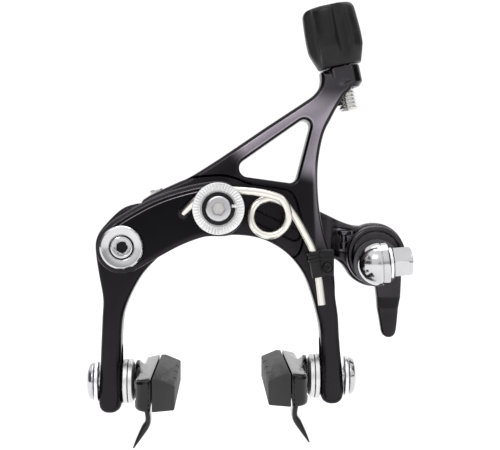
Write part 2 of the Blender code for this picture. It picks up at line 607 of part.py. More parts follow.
def brake_shoe(pad):
    side, s, z, face = (pad[key] for key in ("side", "sign", "height", "face"))
    bolt = aim((0, PAD_Y, z), (s, 0, 0))
    pivot = Vector((s * (pad["inner"] - 2.2), PAD_Y, z))
    outer, inner = pad["outer"] + GAP, pad["inner"] - GAP
    head = [(0, face + 7.9), (2.4, face + 7.9), (2.4, outer + 1.2), (5.0, outer + 1.2), (5.0, outer + 1.5),
            (4.6, outer + 2.3), (3.4, outer + 2.8), (0, outer + 3.0)]
    pad_bolt = add_object(f"{side}_pad_bolt", turned(head, bolt), "chrome", pivot)
    cut(pad_bolt, hexagon(4.0, outer + 1.0, outer + 5, bolt))
    add_object(f"{side}_bolt_washer", tube(2.7, 5.3, outer, outer + 0.9, bolt), "chrome", pivot)
    convex = [(2.7, inner), (6.0, inner), (6.0, inner - 1.1), (2.7, inner - 1.8)]
    add_object(f"{side}_convex_washer", turned(convex, bolt, ring=True), "steel", pivot)
    concave = [(2.9, inner - 2.1), (5.9, inner - 1.4), (5.9, inner - 2.5), (4.6, inner - 3.0),
               (2.9, inner - 3.0)]
    add_object(f"{side}_concave_washer", turned(concave, bolt, ring=True), "steel", pivot)

    shoe = add_object(f"{side}_shoe", prism(shoe_outline(pad), PAD_FRONT, PAD_BACK), "gloss_plastic", pivot)
    plan = prism(plan_curve(pad, 5.9, 10.0, 3.6), -60, -30, plane=XY)
    combine(shoe, "INTERSECT", add_cutter(f"{side}_shoe_plan", plan))
    combine(shoe, "UNION",
            add_cutter(f"{side}_shoe_shoulder", shoe_shoulder(pad, inner - 3.3)),
            add_cutter(f"{side}_shoe_guide", prism(wheel_guide(pad), PAD_FRONT + 0.6, PAD_FRONT + 11.5)))
    cut(shoe, rod(3.0, face + 7.3, face + 16, bolt),
        rod(1.1, face + 5, face + 12, aim((0, PAD_FRONT + 4.5, z - 0.3), (s, 0, 0)), 12))

    insert = add_object(f"{side}_insert", prism(insert_outline(pad), PAD_FRONT, PAD_BACK), "rubber", pivot)
    grooves = []
    for i in range(3):
        y = PAD_Y + (i - 1) * 11
        x0, x1 = sorted((s * (face - 1), s * (face + 1.0)))
        grooves.append(block((x0, y - 0.6, z - 6), (x1, y + 0.6, z + 6)))
    cut(insert, *grooves)
    screw = [(0, face + 6.2), (0.8, face + 6.2), (0.8, face + 9.6), (0, face + 9.6)]
    add_object(f"{side}_insert_screw", turned(screw, aim((0, PAD_FRONT + 4.5, z - 0.3), (s, 0, 0)), 12),
               "steel", pivot)


def build():
    clear_scene()
    mounting_bolt()
    washer_set()
    bridge()
    offset_pivot()
    thrust_washers()
    return_spring()
    y_arm()
    spring_guide()
    c_arm()
    small_screws()
    quick_release()
    anchor()
    adjuster()
    for pad in PADS:
        brake_shoe(pad)


build()
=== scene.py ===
import json
import math

import bmesh
import bpy
import numpy as np
from mathutils import Matrix, Vector
from mathutils.geometry import delaunay_2d_cdt


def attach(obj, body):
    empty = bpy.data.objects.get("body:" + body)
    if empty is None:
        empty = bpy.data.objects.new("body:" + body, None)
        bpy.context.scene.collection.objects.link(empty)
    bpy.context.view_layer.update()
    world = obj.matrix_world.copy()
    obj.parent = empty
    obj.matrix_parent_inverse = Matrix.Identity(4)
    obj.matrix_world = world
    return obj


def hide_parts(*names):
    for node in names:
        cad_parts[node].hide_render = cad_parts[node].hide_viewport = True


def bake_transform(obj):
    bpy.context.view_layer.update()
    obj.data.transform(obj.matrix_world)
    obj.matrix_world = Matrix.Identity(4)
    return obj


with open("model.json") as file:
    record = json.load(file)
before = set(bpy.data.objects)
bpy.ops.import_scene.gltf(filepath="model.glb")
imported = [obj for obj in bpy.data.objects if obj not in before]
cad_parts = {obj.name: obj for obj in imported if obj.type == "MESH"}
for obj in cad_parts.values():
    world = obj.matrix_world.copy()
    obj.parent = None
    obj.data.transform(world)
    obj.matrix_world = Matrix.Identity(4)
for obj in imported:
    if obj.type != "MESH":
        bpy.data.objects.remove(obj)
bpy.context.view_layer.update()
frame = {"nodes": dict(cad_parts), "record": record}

mm = 0.001
cadNodes = frame["nodes"]
bodyOf = {node: body for body, nodes in frame["record"]["behaviour"]["bodies"].items() for node in nodes}
print("frame loaded:", len(cadNodes), "nodes")


# Shader building

class Wire:
    def __init__(self, tree, socket):
        self.tree, self.socket = tree, socket

    def math(self, operation, *values):
        node = self.tree.nodes.new("ShaderNodeMath")
        node.operation = operation
        for slot, value in zip(node.inputs, values):
            plug(self.tree, slot, value)
        return Wire(self.tree, node.outputs[0])

    def __add__(self, other): return self.math("ADD", self, other)
    def __radd__(self, other): return self.math("ADD", other, self)
    def __sub__(self, other): return self.math("SUBTRACT", self, other)
    def __rsub__(self, other): return self.math("SUBTRACT", other, self)
    def __mul__(self, other): return self.math("MULTIPLY", self, other)
    def __rmul__(self, other): return self.math("MULTIPLY", other, self)
    def __truediv__(self, other): return self.math("DIVIDE", self, other)
    def __pow__(self, other): return self.math("POWER", self, other)


def plug(tree, slot, value):
    if isinstance(value, Wire):
        tree.links.new(value.socket, slot)
    else:
        slot.default_value = value


class Finish:
    # One material: constants go straight on the shader, everything else is added by node() and fed in.
    def __init__(self, name, **constants):
        self.material = bpy.data.materials.new(name)
        self.material.use_nodes = True
        self.tree = self.material.node_tree
        self.shader = self.tree.nodes["Principled BSDF"]
        for key, value in constants.items():
            self.shader.inputs[key.replace("_", " ")].default_value = value

    def node(self, kind, settings=(), inputs=(), output=0):
        node = self.tree.nodes.new(kind)
        for key, value in dict(settings).items():
            if key == "stops":
                ramp = node.color_ramp
                while len(ramp.elements) < len(value):
                    ramp.elements.new(1.0)
                for element, (place, colour) in zip(ramp.elements, value):
                    element.position, element.color = place, (*colour, 1)
            else:
                setattr(node, key, value)
        for key, value in dict(inputs).items():
            plug(self.tree, node.inputs[key], value)
        return Wire(self.tree, node.outputs[output])

    def feed(self, **wires):
        for key, wire in wires.items():
            plug(self.tree, self.shader.inputs[key.replace("_", " ")], wire)
        return self.material

    def place(self):
        return self.node("ShaderNodeTexCoord", output="Object")

    def noise(self, scale, detail=3.0, roughness=0.5, vector=None):
        return self.node("ShaderNodeTexNoise", {}, {"Scale": scale, "Detail": detail, "Roughness": roughness,
                                                    "Vector": vector or self.place()})

    def ramp(self, factor, low, high, start=0.0, end=1.0):
        return self.node("ShaderNodeMapRange", {"interpolation_type": "SMOOTHSTEP"},
                         {"Value": factor, "From Min": low, "From Max": high, "To Min": start, "To Max": end})

    def mix(self, factor, first, second):
        return self.node("ShaderNodeMix", {"data_type": "RGBA"}, {0: factor, 6: first, 7: second}, output=2)

    def bump(self, height, strength, distance=0.0001):
        return self.node("ShaderNodeBump", {}, {"Height": height, "Strength": strength, "Distance": distance})

    def axes(self, vector=None):
        split = self.tree.nodes.new("ShaderNodeSeparateXYZ")
        plug(self.tree, split.inputs[0], vector or self.place())
        return [Wire(self.tree, output) for output in split.outputs]


def rgba(*colour):
    return (*colour, 1.0)


# The dark colour is the metal's own; the bright colour is mixed in as painted highlight on the arms, bridge
# and lever, and evenly as the small parts' colour
armLook = {"dark": (0.0075, 0.0068, 0.0082), "bright": (0.370, 0.335, 0.388), "roughness": 0.25}


def armFinish(name, brightness):
    # Dark anodised alloy: brightness(skin, x, y, z) says where its colour is painted lighter, in millimetres;
    # on the arms, bridge and lever this is painted highlight and painted shade
    skin = Finish(name, Metallic=1.0, Coat_Weight=0.15, Coat_Roughness=0.10)
    x, y, z = skin.axes()
    patches = skin.noise(90.0, 2.0)
    light = brightness(skin, x * 1000, y * 1000, z * 1000)
    colour = skin.mix(light, rgba(*armLook["dark"]), rgba(*armLook["bright"]))
    tint = skin.mix(skin.ramp(patches, 0.35, 0.7), rgba(0.86, 0.84, 0.84), rgba(1.0, 1.0, 1.0))
    colour = skin.node("ShaderNodeMix", {"data_type": "RGBA", "blend_type": "MULTIPLY"},
                       {0: 1.0, 6: colour, 7: tint}, output=2)
    grain = skin.noise(2600.0, 4.0)
    rough = armLook["roughness"] + skin.noise(420.0) * 0.06
    return skin.feed(Base_Color=colour, Roughness=rough, Normal=skin.bump(grain, 0.10, 0.00003))


def polished(name, colour, roughness, scratches=0.12, centre=None):
    # Bright metal. With a centre, the polishing lines run round the Y axis through it.
    skin = Finish(name, Metallic=1.0)
    if centre is not None:
        local = skin.node("ShaderNodeMapping", {"vector_type": "TEXTURE"},
                          {"Vector": skin.place(), "Location": [c * mm for c in centre],
                           "Rotation": (-math.pi / 2, 0, 0)})
        x, y, z = skin.axes(local)
        reach = (x * x + y * y) ** 0.5
        place = skin.node("ShaderNodeCombineXYZ", {}, {"X": reach * 9000, "Y": z * 9000, "Z": 0.0})
        lines = skin.noise(1.0, 3.0, 0.6, place)
    else:
        lines = skin.noise(1400.0, 4.0, 0.6)
    smudge = skin.noise(160.0, 3.0)
    tone = skin.mix(skin.ramp(smudge, 0.3, 0.75), rgba(*[c * 0.9 for c in colour]), rgba(*colour))
    rough = roughness + lines * 0.07 + skin.ramp(smudge, 0.45, 0.75) * 0.05
    return skin.feed(Base_Color=tone, Roughness=rough, Normal=skin.bump(lines, scratches, 0.00002))


def moulded(name, colour, roughness, grainScale, grainDepth, coat=0.0):
    # Plastic or rubber with a moulded grain and handling marks.
    skin = Finish(name, Metallic=0.0, Specular_IOR_Level=0.25 * (1 - coat), Coat_Weight=coat,
                  Coat_Roughness=0.03)
    grain = skin.noise(grainScale, 3.0)
    marks = skin.noise(240.0, 4.0, 0.6)
    dull, clean = (rgba(*[c * share for c in colour]) for share in (0.75, 1.25))
    tone = skin.mix(skin.ramp(marks, 0.35, 0.75), dull, clean)
    rough = roughness + skin.ramp(marks, 0.4, 0.8) * 0.10
    return skin.feed(Base_Color=tone, Roughness=rough, Normal=skin.bump(grain, grainDepth, 0.00005))


def wornRubber(name, faceX, sign):
    # Brake rubber: dusty where the rim rubs it, darker on its flanks.
    skin = Finish(name, Metallic=0.0)
    x = skin.axes()[0]
    near = skin.ramp((x * sign - faceX * mm) * 1000, 4.5, -0.5)
    dust = skin.ramp(skin.noise(500.0, 4.0, 0.65), 0.35, 0.75)
    tone = skin.mix(near * 0.35 + dust * 0.25, rgba(0.012, 0.0118, 0.013), rgba(0.036, 0.0355, 0.038))
    grain = skin.noise(3200.0, 4.0, 0.6)
    return skin.feed(Base_Color=tone, Roughness=0.52 + dust * 0.12, Normal=skin.bump(grain, 0.35, 0.00008))


def drawnWire(name):
    skin = Finish(name, Metallic=1.0)
    lines = skin.noise(2400.0, 4.0, 0.7)
    tone = skin.mix(skin.noise(180.0), rgba(0.74, 0.71, 0.65), rgba(0.92, 0.89, 0.84))
    return skin.feed(Base_Color=tone, Roughness=0.24 + lines * 0.12, Normal=skin.bump(lines, 0.15, 0.00003))


# Outlines, in millimetres in the X-Z plane

def smooth(points, steps=7):
    # A Catmull-Rom curve through the points
    ends = [2 * Vector(points[0]) - Vector(points[1]), 2 * Vector(points[-1]) - Vector(points[-2])]
    knots = [ends[0], *map(Vector, points), ends[1]]
    curve = []
    for a, b, c, d in zip(knots, knots[1:], knots[2:], knots[3:]):
        for step in range(steps):
            t = step / steps
            curve.append(0.5 * (2 * b + (c - a) * t + (2 * a - 5 * b + 4 * c - d) * t**2
                                + (3 * b - a - 3 * c + d) * t**3))
    return [tuple(p) for p in [*curve, knots[-2]]]


def arc(centre, radius, start, end, steps=24):
    angles = [math.radians(start + (end - start) * i / steps) for i in range(steps + 1)]
    return [(centre[0] + radius * math.cos(a), centre[1] + radius * math.sin(a)) for a in angles]


def circle(centre, radius, steps=64):
    return arc(centre, radius, 0, 360, steps)[:-1]


def rounded(corners, steps=8):
    # A polygon whose corners (x, z, radius) become arcs
    outline = []
    for i, (x, z, radius) in enumerate(corners):
        here = Vector((x, z))
        if radius <= 0:
            outline.append((x, z))
            continue
        before = (Vector(corners[i - 1][:2]) - here).normalized()
        after = (Vector(corners[(i + 1) % len(corners)][:2]) - here).normalized()
        half = before.angle(after) / 2
        centre = here + (before + after).normalized() * radius / math.sin(half)
        first = here + before * radius / math.tan(half) - centre
        last = here + after * radius / math.tan(half) - centre
        turn = first.angle_signed(last)
        for step in range(steps + 1):
            offset = first.copy()
            offset.rotate(Matrix.Rotation(-turn * step / steps, 2))
            outline.append(tuple(centre + offset))
    return outline


def pill(start, end, radius, steps=14):
    along = Vector(end) - Vector(start)
    heading = math.degrees(math.atan2(along.y, along.x))
    return (arc(end, radius, heading - 90, heading + 90, steps)
            + arc(start, radius, heading + 90, heading + 270, steps))


def resample(outline, spacing):
    # The closed outline again, with points no further apart than the spacing and none repeated
    points = []
    for a, b in zip(outline, outline[1:] + outline[:1]):
        a, b = Vector(a), Vector(b)
        gap = (b - a).length
        if gap < 0.02:
            continue
        count = max(1, math.ceil(gap / spacing))
        points += [tuple(a.lerp(b, i / count)) for i in range(count)]
    return points


def distanceTo(points, loops):
    # Distance from each point to the nearest edge of the closed loops
    best = np.full(len(points), 1e9)
    for loop in loops:
        start = np.array(loop)
        step = np.roll(start, -1, 0) - start
        square = np.maximum((step**2).sum(1), 1e-12)
        for low in range(0, len(points), 1500):
            offset = points[low:low + 1500, None, :] - start[None]
            share = np.clip((offset * step[None]).sum(2) / square[None], 0, 1)
            gap = np.sqrt(((offset - share[..., None] * step[None])**2).sum(2)).min(1)
            best[low:low + 1500] = np.minimum(best[low:low + 1500], gap)
    return best


def inside(points, loops):
    # Even-odd test against all the loops together
    odd = np.zeros(len(points), bool)
    for loop in loops:
        for (x1, z1), (x2, z2) in zip(loop, loop[1:] + loop[:1]):
            crosses = (z1 > points[:, 1]) != (z2 > points[:, 1])
            if z1 != z2:
                edge = (x2 - x1) * (points[:, 1] - z1) / (z2 - z1) + x1
                odd ^= crosses & (points[:, 0] < edge)
    return odd


def step01(value, low, high):
    share = np.clip((value - low) / (high - low), 0, 1)
    return share * share * (3 - 2 * share)


# Mesh building, in millimetres; objects are stored in metres at the origin

alongY = Vector((0, 1, 0))


def aim(origin, direction):
    # Maps local +Z onto the direction, at the origin
    turn = Vector((0, 0, 1)).rotation_difference(Vector(direction)).to_matrix().to_4x4()
    return Matrix.Translation(origin) @ turn


def solid(name, verts, faces):
    mesh = bpy.data.meshes.new(name)
    mesh.from_pydata([Vector(v) * mm for v in verts], [], faces)
    bm = bmesh.new()
    bm.from_mesh(mesh)
    bmesh.ops.remove_doubles(bm, verts=bm.verts, dist=1e-7)
    bmesh.ops.dissolve_degenerate(bm, edges=bm.edges, dist=1e-8)
    bmesh.ops.recalc_face_normals(bm, faces=bm.faces)
    bm.to_mesh(mesh)
    bm.free()
    obj = bpy.data.objects.new(name, mesh)
    bpy.context.scene.collection.objects.link(obj)
    return obj


# Rings of points beside a rim and a crease, as shares of their width;
# points that fall within merge of one another are thinned out
plateSizes = {"rim": (0.08, 0.25, 0.5, 0.78, 1.05), "crease": (-1.15, -0.85, -0.4, 0.0, 0.4, 0.85, 1.15),
              "clear": 0.93, "edgeGap": 0.12, "merge": 0.07, "stagger": 0.87}


def normals(loop):
    # The closed loop's points and the unit normal at each
    flat = np.array(loop)
    tangent = np.roll(flat, -1, 0) - np.roll(flat, 1, 0)
    normal = np.stack([-tangent[:, 1], tangent[:, 0]], 1)
    return flat, normal / np.maximum(np.linalg.norm(normal, axis=1), 1e-9)[:, None]


def plate(name, outline, front, back, holes=(), creases=(), rim=1.1, spacing=0.75):
    # A flat forging with a rounded rim, whose faces follow front(points) and back(points).
    # Rings of points run beside the rim and the creases, and a staggered grid fills the rest.
    loops = [resample(loop, spacing * 0.8) for loop in (outline, *holes)]
    edges, points = [], []
    for loop in loops:
        first = len(points)
        points += loop
        edges += [(first + i, first + (i + 1) % len(loop)) for i in range(len(loop))]
    extra = []
    for share in plateSizes["rim"]:
        for loop in loops:
            flat, normal = normals(loop)
            for side in (1, -1):
                moved = flat + side * normal * rim * share
                keep = inside(moved, loops) & (distanceTo(moved, loops) > rim * share * plateSizes["clear"])
                extra.append(moved[keep])
    for crease, width in creases:
        flat, normal = normals(resample(crease, spacing * 0.6))
        for side in plateSizes["crease"]:
            moved = flat + side * normal * width / 2
            keep = inside(moved, loops) & (distanceTo(moved, loops) > plateSizes["edgeGap"])
            extra.append(moved[keep])
    low, high = np.array(loops[0]).min(0), np.array(loops[0]).max(0)
    rows = []
    for row, z in enumerate(np.arange(low[1], high[1], spacing * plateSizes["stagger"])):
        xs = np.arange(low[0] + (row % 2) * spacing / 2, high[0], spacing)
        rows.append(np.stack([xs, np.full(len(xs), z)], 1))
    grid = np.concatenate(rows)
    keep = inside(grid, loops) & (distanceTo(grid, loops) > rim * 1.25)
    if creases:
        keep &= distanceTo(grid, [resample(crease, spacing) for crease, width in creases]) > max(
            width for crease, width in creases) * 0.6
    extra.append(grid[keep])
    cloud = np.concatenate(extra)
    cells = np.round(cloud / plateSizes["merge"]).astype(np.int64)
    cloud = cloud[np.sort(np.unique(cells, axis=0, return_index=True)[1])]
    seeds = [Vector(p) for p in points] + [Vector(p) for p in cloud]
    flatVerts, flatEdges, triangles, *rest = delaunay_2d_cdt(seeds, edges, [], 0, 1e-5)
    flat = np.array([tuple(v) for v in flatVerts])
    middles = np.array([flat[list(t)].mean(0) for t in triangles])
    triangles = [t for t, kept in zip(triangles, inside(middles, loops)) if kept]
    gap = distanceTo(flat, loops)

    fall = rim - np.sqrt(np.maximum(rim**2 - (rim - np.clip(gap, 0, rim))**2, 0))
    frontY, backY = front(flat) + fall, back(flat) - fall
    count = len(flat)
    verts = [(x, y, z) for (x, z), y in zip(flat, frontY)] + [(x, y, z) for (x, z), y in zip(flat, backY)]
    faces = [tuple(t) for t in triangles] + [tuple(count + i for i in reversed(t)) for t in triangles]
    used = {}
    for a, b, c in triangles:
        for pair in ((a, b), (b, c), (c, a)):
            used[frozenset(pair)] = used.get(frozenset(pair), 0) + 1
    for pair, times in used.items():
        if times == 1:
            a, b = pair
            faces.append((a, b, count + b, count + a))
    return solid(name, verts, faces)


def turned(name, profile, matrix, sides=72, ring=False):
    # A profile of (radius, height) spun about its axis
    hoops, verts, faces = [], [], []
    for radius, height in profile:
        hoops.append(range(len(verts), len(verts) + (1 if radius == 0 else sides)))
        for i in range(len(hoops[-1])):
            angle = 2 * math.pi * i / sides
            verts.append(matrix @ Vector((radius * math.cos(angle), radius * math.sin(angle), height)))
    for below, above in zip(hoops, hoops[1:] + hoops[:1] if ring else hoops[1:]):
        for i in range(sides):
            j = (i + 1) % sides
            corners = [hoop[k % len(hoop)] for hoop, k in ((below, i), (below, j), (above, j), (above, i))]
            corners = tuple(dict.fromkeys(corners))
            if len(corners) > 2:
                faces.append(corners)
    return solid(name, verts, faces)


def rod(radius, low, high, matrix, sides=48, name="rod"):
    return turned(name, [(0, low), (radius, low), (radius, high), (0, high)], matrix, sides)


def washerRing(name, bore, low, rim, high, soft, matrix, paint, node, sides=80):
    # A flat ring with its outer corners rounded
    profile = soften([(bore, low), (rim, low, soft), (rim, high, soft), (bore, high)], 3, closed=True)
    dress(turned(name, profile, matrix, sides, ring=True), paints[paint], node)


def soften(profile, steps=4, closed=False):
    # Rounds the corners of a turned profile; each point is (radius, height, corner radius)
    if closed:
        return rounded([(*p, 0)[:3] for p in profile], steps)
    ends = [profile[0][:2]]
    middle = rounded([(*p, 0)[:3] for p in profile], steps)
    first = sum(steps + 1 if (*p, 0)[2] > 0 else 1 for p in profile[:1])
    last = sum(steps + 1 if (*p, 0)[2] > 0 else 1 for p in profile[-1:])
    return ends + middle[first:len(middle) - last] + [profile[-1][:2]]


def prism(name, outline, low, high, matrix):
    # An outline in local X-Y, extruded along local Z
    count = len(outline)
    verts = [matrix @ Vector((x, y, depth)) for depth in (low, high) for x, y in outline]
    faces = [tuple(range(count)), tuple(range(2 * count - 1, count - 1, -1))]
    faces += [(i, (i + 1) % count, count + (i + 1) % count, count + i) for i in range(count)]
    return solid(name, verts, faces)


def loft(name, rings):
    # Joins rings of equal length and closes the ends with fans
    count = len(rings[0])
    verts = [v for ring in rings for v in ring]
    faces = []
    for level in range(len(rings) - 1):
        for i in range(count):
            j = (i + 1) % count
            a, b = level * count, (level + 1) * count
            faces.append((a + i, a + j, b + j, b + i))
    for ring, start in ((rings[0], 0), (rings[-1], (len(rings) - 1) * count)):
        verts.append(sum((Vector(v) for v in ring), Vector()) / count)
        faces += [(start + i, start + (i + 1) % count, len(verts) - 1) for i in range(count)]
    return solid(name, verts, faces)


def settle(obj):
    # Turns the object with its live modifiers into a plain mesh
    graph = bpy.context.evaluated_depsgraph_get()
    mesh = bpy.data.meshes.new_from_object(obj.evaluated_get(graph))
    obj.modifiers.clear()
    if obj.type == "MESH":
        obj.data = mesh
        return obj
    name = obj.name
    bpy.data.objects.remove(obj)
    fresh = bpy.data.objects.new(name, mesh)
    bpy.context.scene.collection.objects.link(fresh)
    return fresh


def carve(obj, *tools, operation="DIFFERENCE"):
    for tool in tools:
        boolean = obj.modifiers.new("carve", "BOOLEAN")
        boolean.operation, boolean.object, boolean.solver = operation, tool, "EXACT"
    obj = settle(obj)
    for tool in tools:
        bpy.data.objects.remove(tool)
    return obj


def join(obj, *others):
    # Puts the other objects' meshes into the first object's
    bm = bmesh.new()
    for part in (obj, *others):
        bm.from_mesh(part.data)
    bm.to_mesh(obj.data)
    bm.free()
    for part in others:
        bpy.data.objects.remove(part)
    return obj


def dress(obj, material, replaces=(), body=None, angle=32, bends=()):
    # Finishes a piece: shading, material, the body it rides on and the CAD nodes it stands for
    nodes = replaces.split() if isinstance(replaces, str) else list(replaces)
    obj.data.materials.clear()
    obj.data.materials.append(material)
    obj.data.shade_smooth()
    obj.data.set_sharp_from_angle(angle=math.radians(angle))
    if bends:
        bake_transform(obj)
    else:
        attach(obj, body or bodyOf[nodes[0]])
    if nodes:
        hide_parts(*nodes)
    return obj


# Patterns that repeat, as Geometry Nodes trees

class Tree:
    # One Geometry Nodes tree on an object; inputs are set by their socket's identifier.
    def __init__(self, name):
        self.tree = bpy.data.node_groups.new(name, "GeometryNodeTree")
        self.tree.interface.new_socket("Geometry", in_out="INPUT", socket_type="NodeSocketGeometry")
        self.tree.interface.new_socket("Geometry", in_out="OUTPUT", socket_type="NodeSocketGeometry")
        self.start = self.tree.nodes.new("NodeGroupInput")
        self.values = {}

    def size(self, name, value):
        kind = "NodeSocketInt" if isinstance(value, int) else "NodeSocketFloat"
        socket = self.tree.interface.new_socket(name, in_out="INPUT", socket_type=kind)
        self.values[socket.identifier] = value
        return Wire(self.tree, self.start.outputs[name])

    def node(self, kind, settings=(), inputs=(), output=0):
        node = self.tree.nodes.new(kind)
        for key, value in dict(settings).items():
            setattr(node, key, value)
        for key, value in dict(inputs).items():
            plug(self.tree, node.inputs[key], value)
        return Wire(self.tree, node.outputs[output])

    def tube(self, path, sides, radius):
        section = self.node("GeometryNodeCurvePrimitiveCircle", {"mode": "RADIUS"},
                            {"Resolution": sides, "Radius": radius})
        return self.node("GeometryNodeCurveToMesh", {},
                         {"Curve": path, "Profile Curve": section, "Fill Caps": True})

    def copies(self, points, shape, **turn):
        source = self.node("GeometryNodeObjectInfo", {}, {"Object": shape}, output="Geometry")
        return self.node("GeometryNodeInstanceOnPoints", {}, {"Points": points, "Instance": source, **turn})

    def make(self, obj, geometry, material):
        real = self.node("GeometryNodeRealizeInstances", {}, {"Geometry": geometry})
        painted = self.node("GeometryNodeSetMaterial", {}, {"Geometry": real, "Material": material})
        end = self.tree.nodes.new("NodeGroupOutput")
        self.tree.links.new(painted.socket, end.inputs[0])
        modifier = obj.modifiers.new("pattern", "NODES")
        modifier.node_group = self.tree
        for identifier, value in self.values.items():
            modifier[identifier] = value
        return settle(obj)


def blank(name):
    obj = bpy.data.objects.new(name, bpy.data.meshes.new(name))
    bpy.context.scene.collection.objects.link(obj)
    return obj


def place(obj, matrix):
    # Moves a mesh made round the origin to its place; the matrix is in millimetres
    shift = matrix.copy()
    shift.translation = matrix.translation * mm
    obj.data.transform(shift)
    return obj


def thread(name, matrix, radius, pitch, low, high, share=0.45):
    # A helical ridge from low to high along local Z, its sharp edge outwards
    tree = Tree(name + "Tree")
    turns = tree.size("Turns", (high - low) / pitch)
    reach = tree.size("Radius", radius * mm)
    height = tree.size("Height", (high - low) * mm)
    ridge = tree.size("Ridge", share * pitch * mm)
    path = tree.node("GeometryNodeCurveSpiral", {}, {"Resolution": 40, "Rotations": turns,
                                                     "Start Radius": reach, "End Radius": reach,
                                                     "Height": height})
    upright = tree.node("GeometryNodeSetCurveNormal", {"mode": "Z_UP"}, {"Curve": path})
    obj = tree.make(blank(name), tree.tube(upright, 4, ridge), paints["thread"])
    return place(obj, matrix @ Matrix.Translation((0, 0, low)))


def spokes(name, shape, count, matrix, material):
    # Copies of a shape turned round local Z
    tree = Tree(name + "Tree")
    number = tree.size("Count", count)
    points = tree.node("GeometryNodeMeshLine", {"mode": "OFFSET"}, {"Count": number, "Offset": (0, 0, 0)})
    index = tree.node("GeometryNodeInputIndex")
    turn = tree.node("ShaderNodeCombineXYZ", {}, {"Z": index * (2 * math.pi) / number})
    obj = tree.make(blank(name), tree.copies(points, shape, Rotation=turn), material)
    bpy.data.objects.remove(shape)
    return place(obj, matrix)


def row(name, shape, count, offset, material):
    # Copies of a shape spaced evenly along a line, the offset in millimetres
    tree = Tree(name + "Tree")
    number = tree.size("Count", count)
    points = tree.node("GeometryNodeMeshLine", {"mode": "OFFSET"},
                       {"Count": number, "Offset": tuple(v * mm for v in offset)})
    obj = tree.make(blank(name), tree.copies(points, shape), material)
    bpy.data.objects.remove(shape)
    return obj


def sweep(name, route, radius, material, sides=20):
    # A round wire along a route, with rounded spacing from a resampled curve
    curve = bpy.data.curves.new(name, "CURVE")
    curve.dimensions = "3D"
    line = curve.splines.new("NURBS")
    line.points.add(len(route) - 1)
    for point, spot in zip(line.points, route):
        point.co = (*(Vector(spot) * mm), 1)
    line.use_endpoint_u, line.order_u, line.resolution_u = True, 3, 8
    obj = bpy.data.objects.new(name, curve)
    bpy.context.scene.collection.objects.link(obj)
    tree = Tree(name + "Tree")
    wire = tree.size("Wire radius", radius * mm)
    start = Wire(tree.tree, tree.start.outputs["Geometry"])
    even = tree.node("GeometryNodeResampleCurve", {"mode": "LENGTH"}, {"Curve": start, "Length": 0.0004})
    return tree.make(obj, tree.tube(even, sides, wire), material)


# Materials

def yArmPaintedSheen(skin, x, y, z):
    # Painted highlights: lighter on the forward face of the strut and of the limb's top, with a painted rim
    # highlight on the limb's outer edge and a little painted light on the head and towards the bottom
    forwards = skin.axes(skin.node("ShaderNodeTexCoord", output="Normal"))[1]
    facing = skin.ramp(forwards, -0.90, -0.985)
    fade = skin.ramp(z, 32.0, 26.0)
    upper = skin.ramp(z + x * 0.25, 12.4, 18.0) * skin.ramp(x, 2.4, 7.4)
    # Painted rim highlight along the limb's outer edge
    edge = skin.ramp(x + z * 0.03, 24.9, 25.9) * skin.ramp(z, -16.0, 6.0) * skin.ramp(z, 14.0, 8.0) * 0.5
    face = upper * fade + skin.ramp(z, 26.0, 32.0) * 0.14 + skin.ramp(z, -5.0, -40.0) * 0.02
    return facing * face + edge * skin.ramp(y, 10.5, 9.0) + 0.024


def cArmPaintedLight(skin, x, y, z):
    # Painted light: lighter over the right part, which lies in the Y arm's shade, on the floor of the stop
    # screw's pocket, where shade falls, and a little towards the bottom
    lever = skin.ramp(x, 24.0, 34.0) * 0.12
    across = skin.ramp(x, 30.4, 31.2) * skin.ramp(x, 38.0, 37.2)
    upright = skin.ramp(z, -13.4, -12.6) * skin.ramp(z, -4.4, -5.2)
    floor = across * upright * skin.ramp(y, 18.9, 19.4) * skin.ramp(y, 21.9, 21.4) * 0.95
    return skin.ramp(z, -16.0, -42.0) * 0.02 + lever + floor + 0.012


def bridgePaintedHighlights(skin, x, y, z):
    # Painted highlights: thin bright lines along the steps under its upper edge, and a fainter painted
    # highlight on the stepped-back bands
    upper = skin.ramp(z + x * -0.44, 2.5, 4.5)
    first = skin.ramp(y, 3.34, 3.42) * skin.ramp(y, 3.56, 3.48)
    second = skin.ramp(y, 3.66, 3.74) * skin.ramp(y, 3.90, 3.82)
    return (first + second) * upper * 0.8 + skin.ramp(y, 3.5, 4.3) * 0.10


def cloud(skin):
    return skin.ramp(skin.noise(140.0, 2.0), 0.3, 0.8)


def leverPaintedLightAndShade(skin, x, y, z):
    # Painted shade across the bend between the disc and the tail, and painted light making the disc a little
    # lighter than the tail; the cloud is the metal's own random tone
    bend = skin.ramp(z, -23.6, -24.2) * skin.ramp(z, -27.4, -26.8)
    return (cloud(skin) * 0.03 + skin.ramp(z, -30.0, -18.0) * 0.06 + 0.05) * (1.0 - bend * 0.9)


def darkTone(skin, x, y, z):
    return cloud(skin) * 0.10 + 0.28


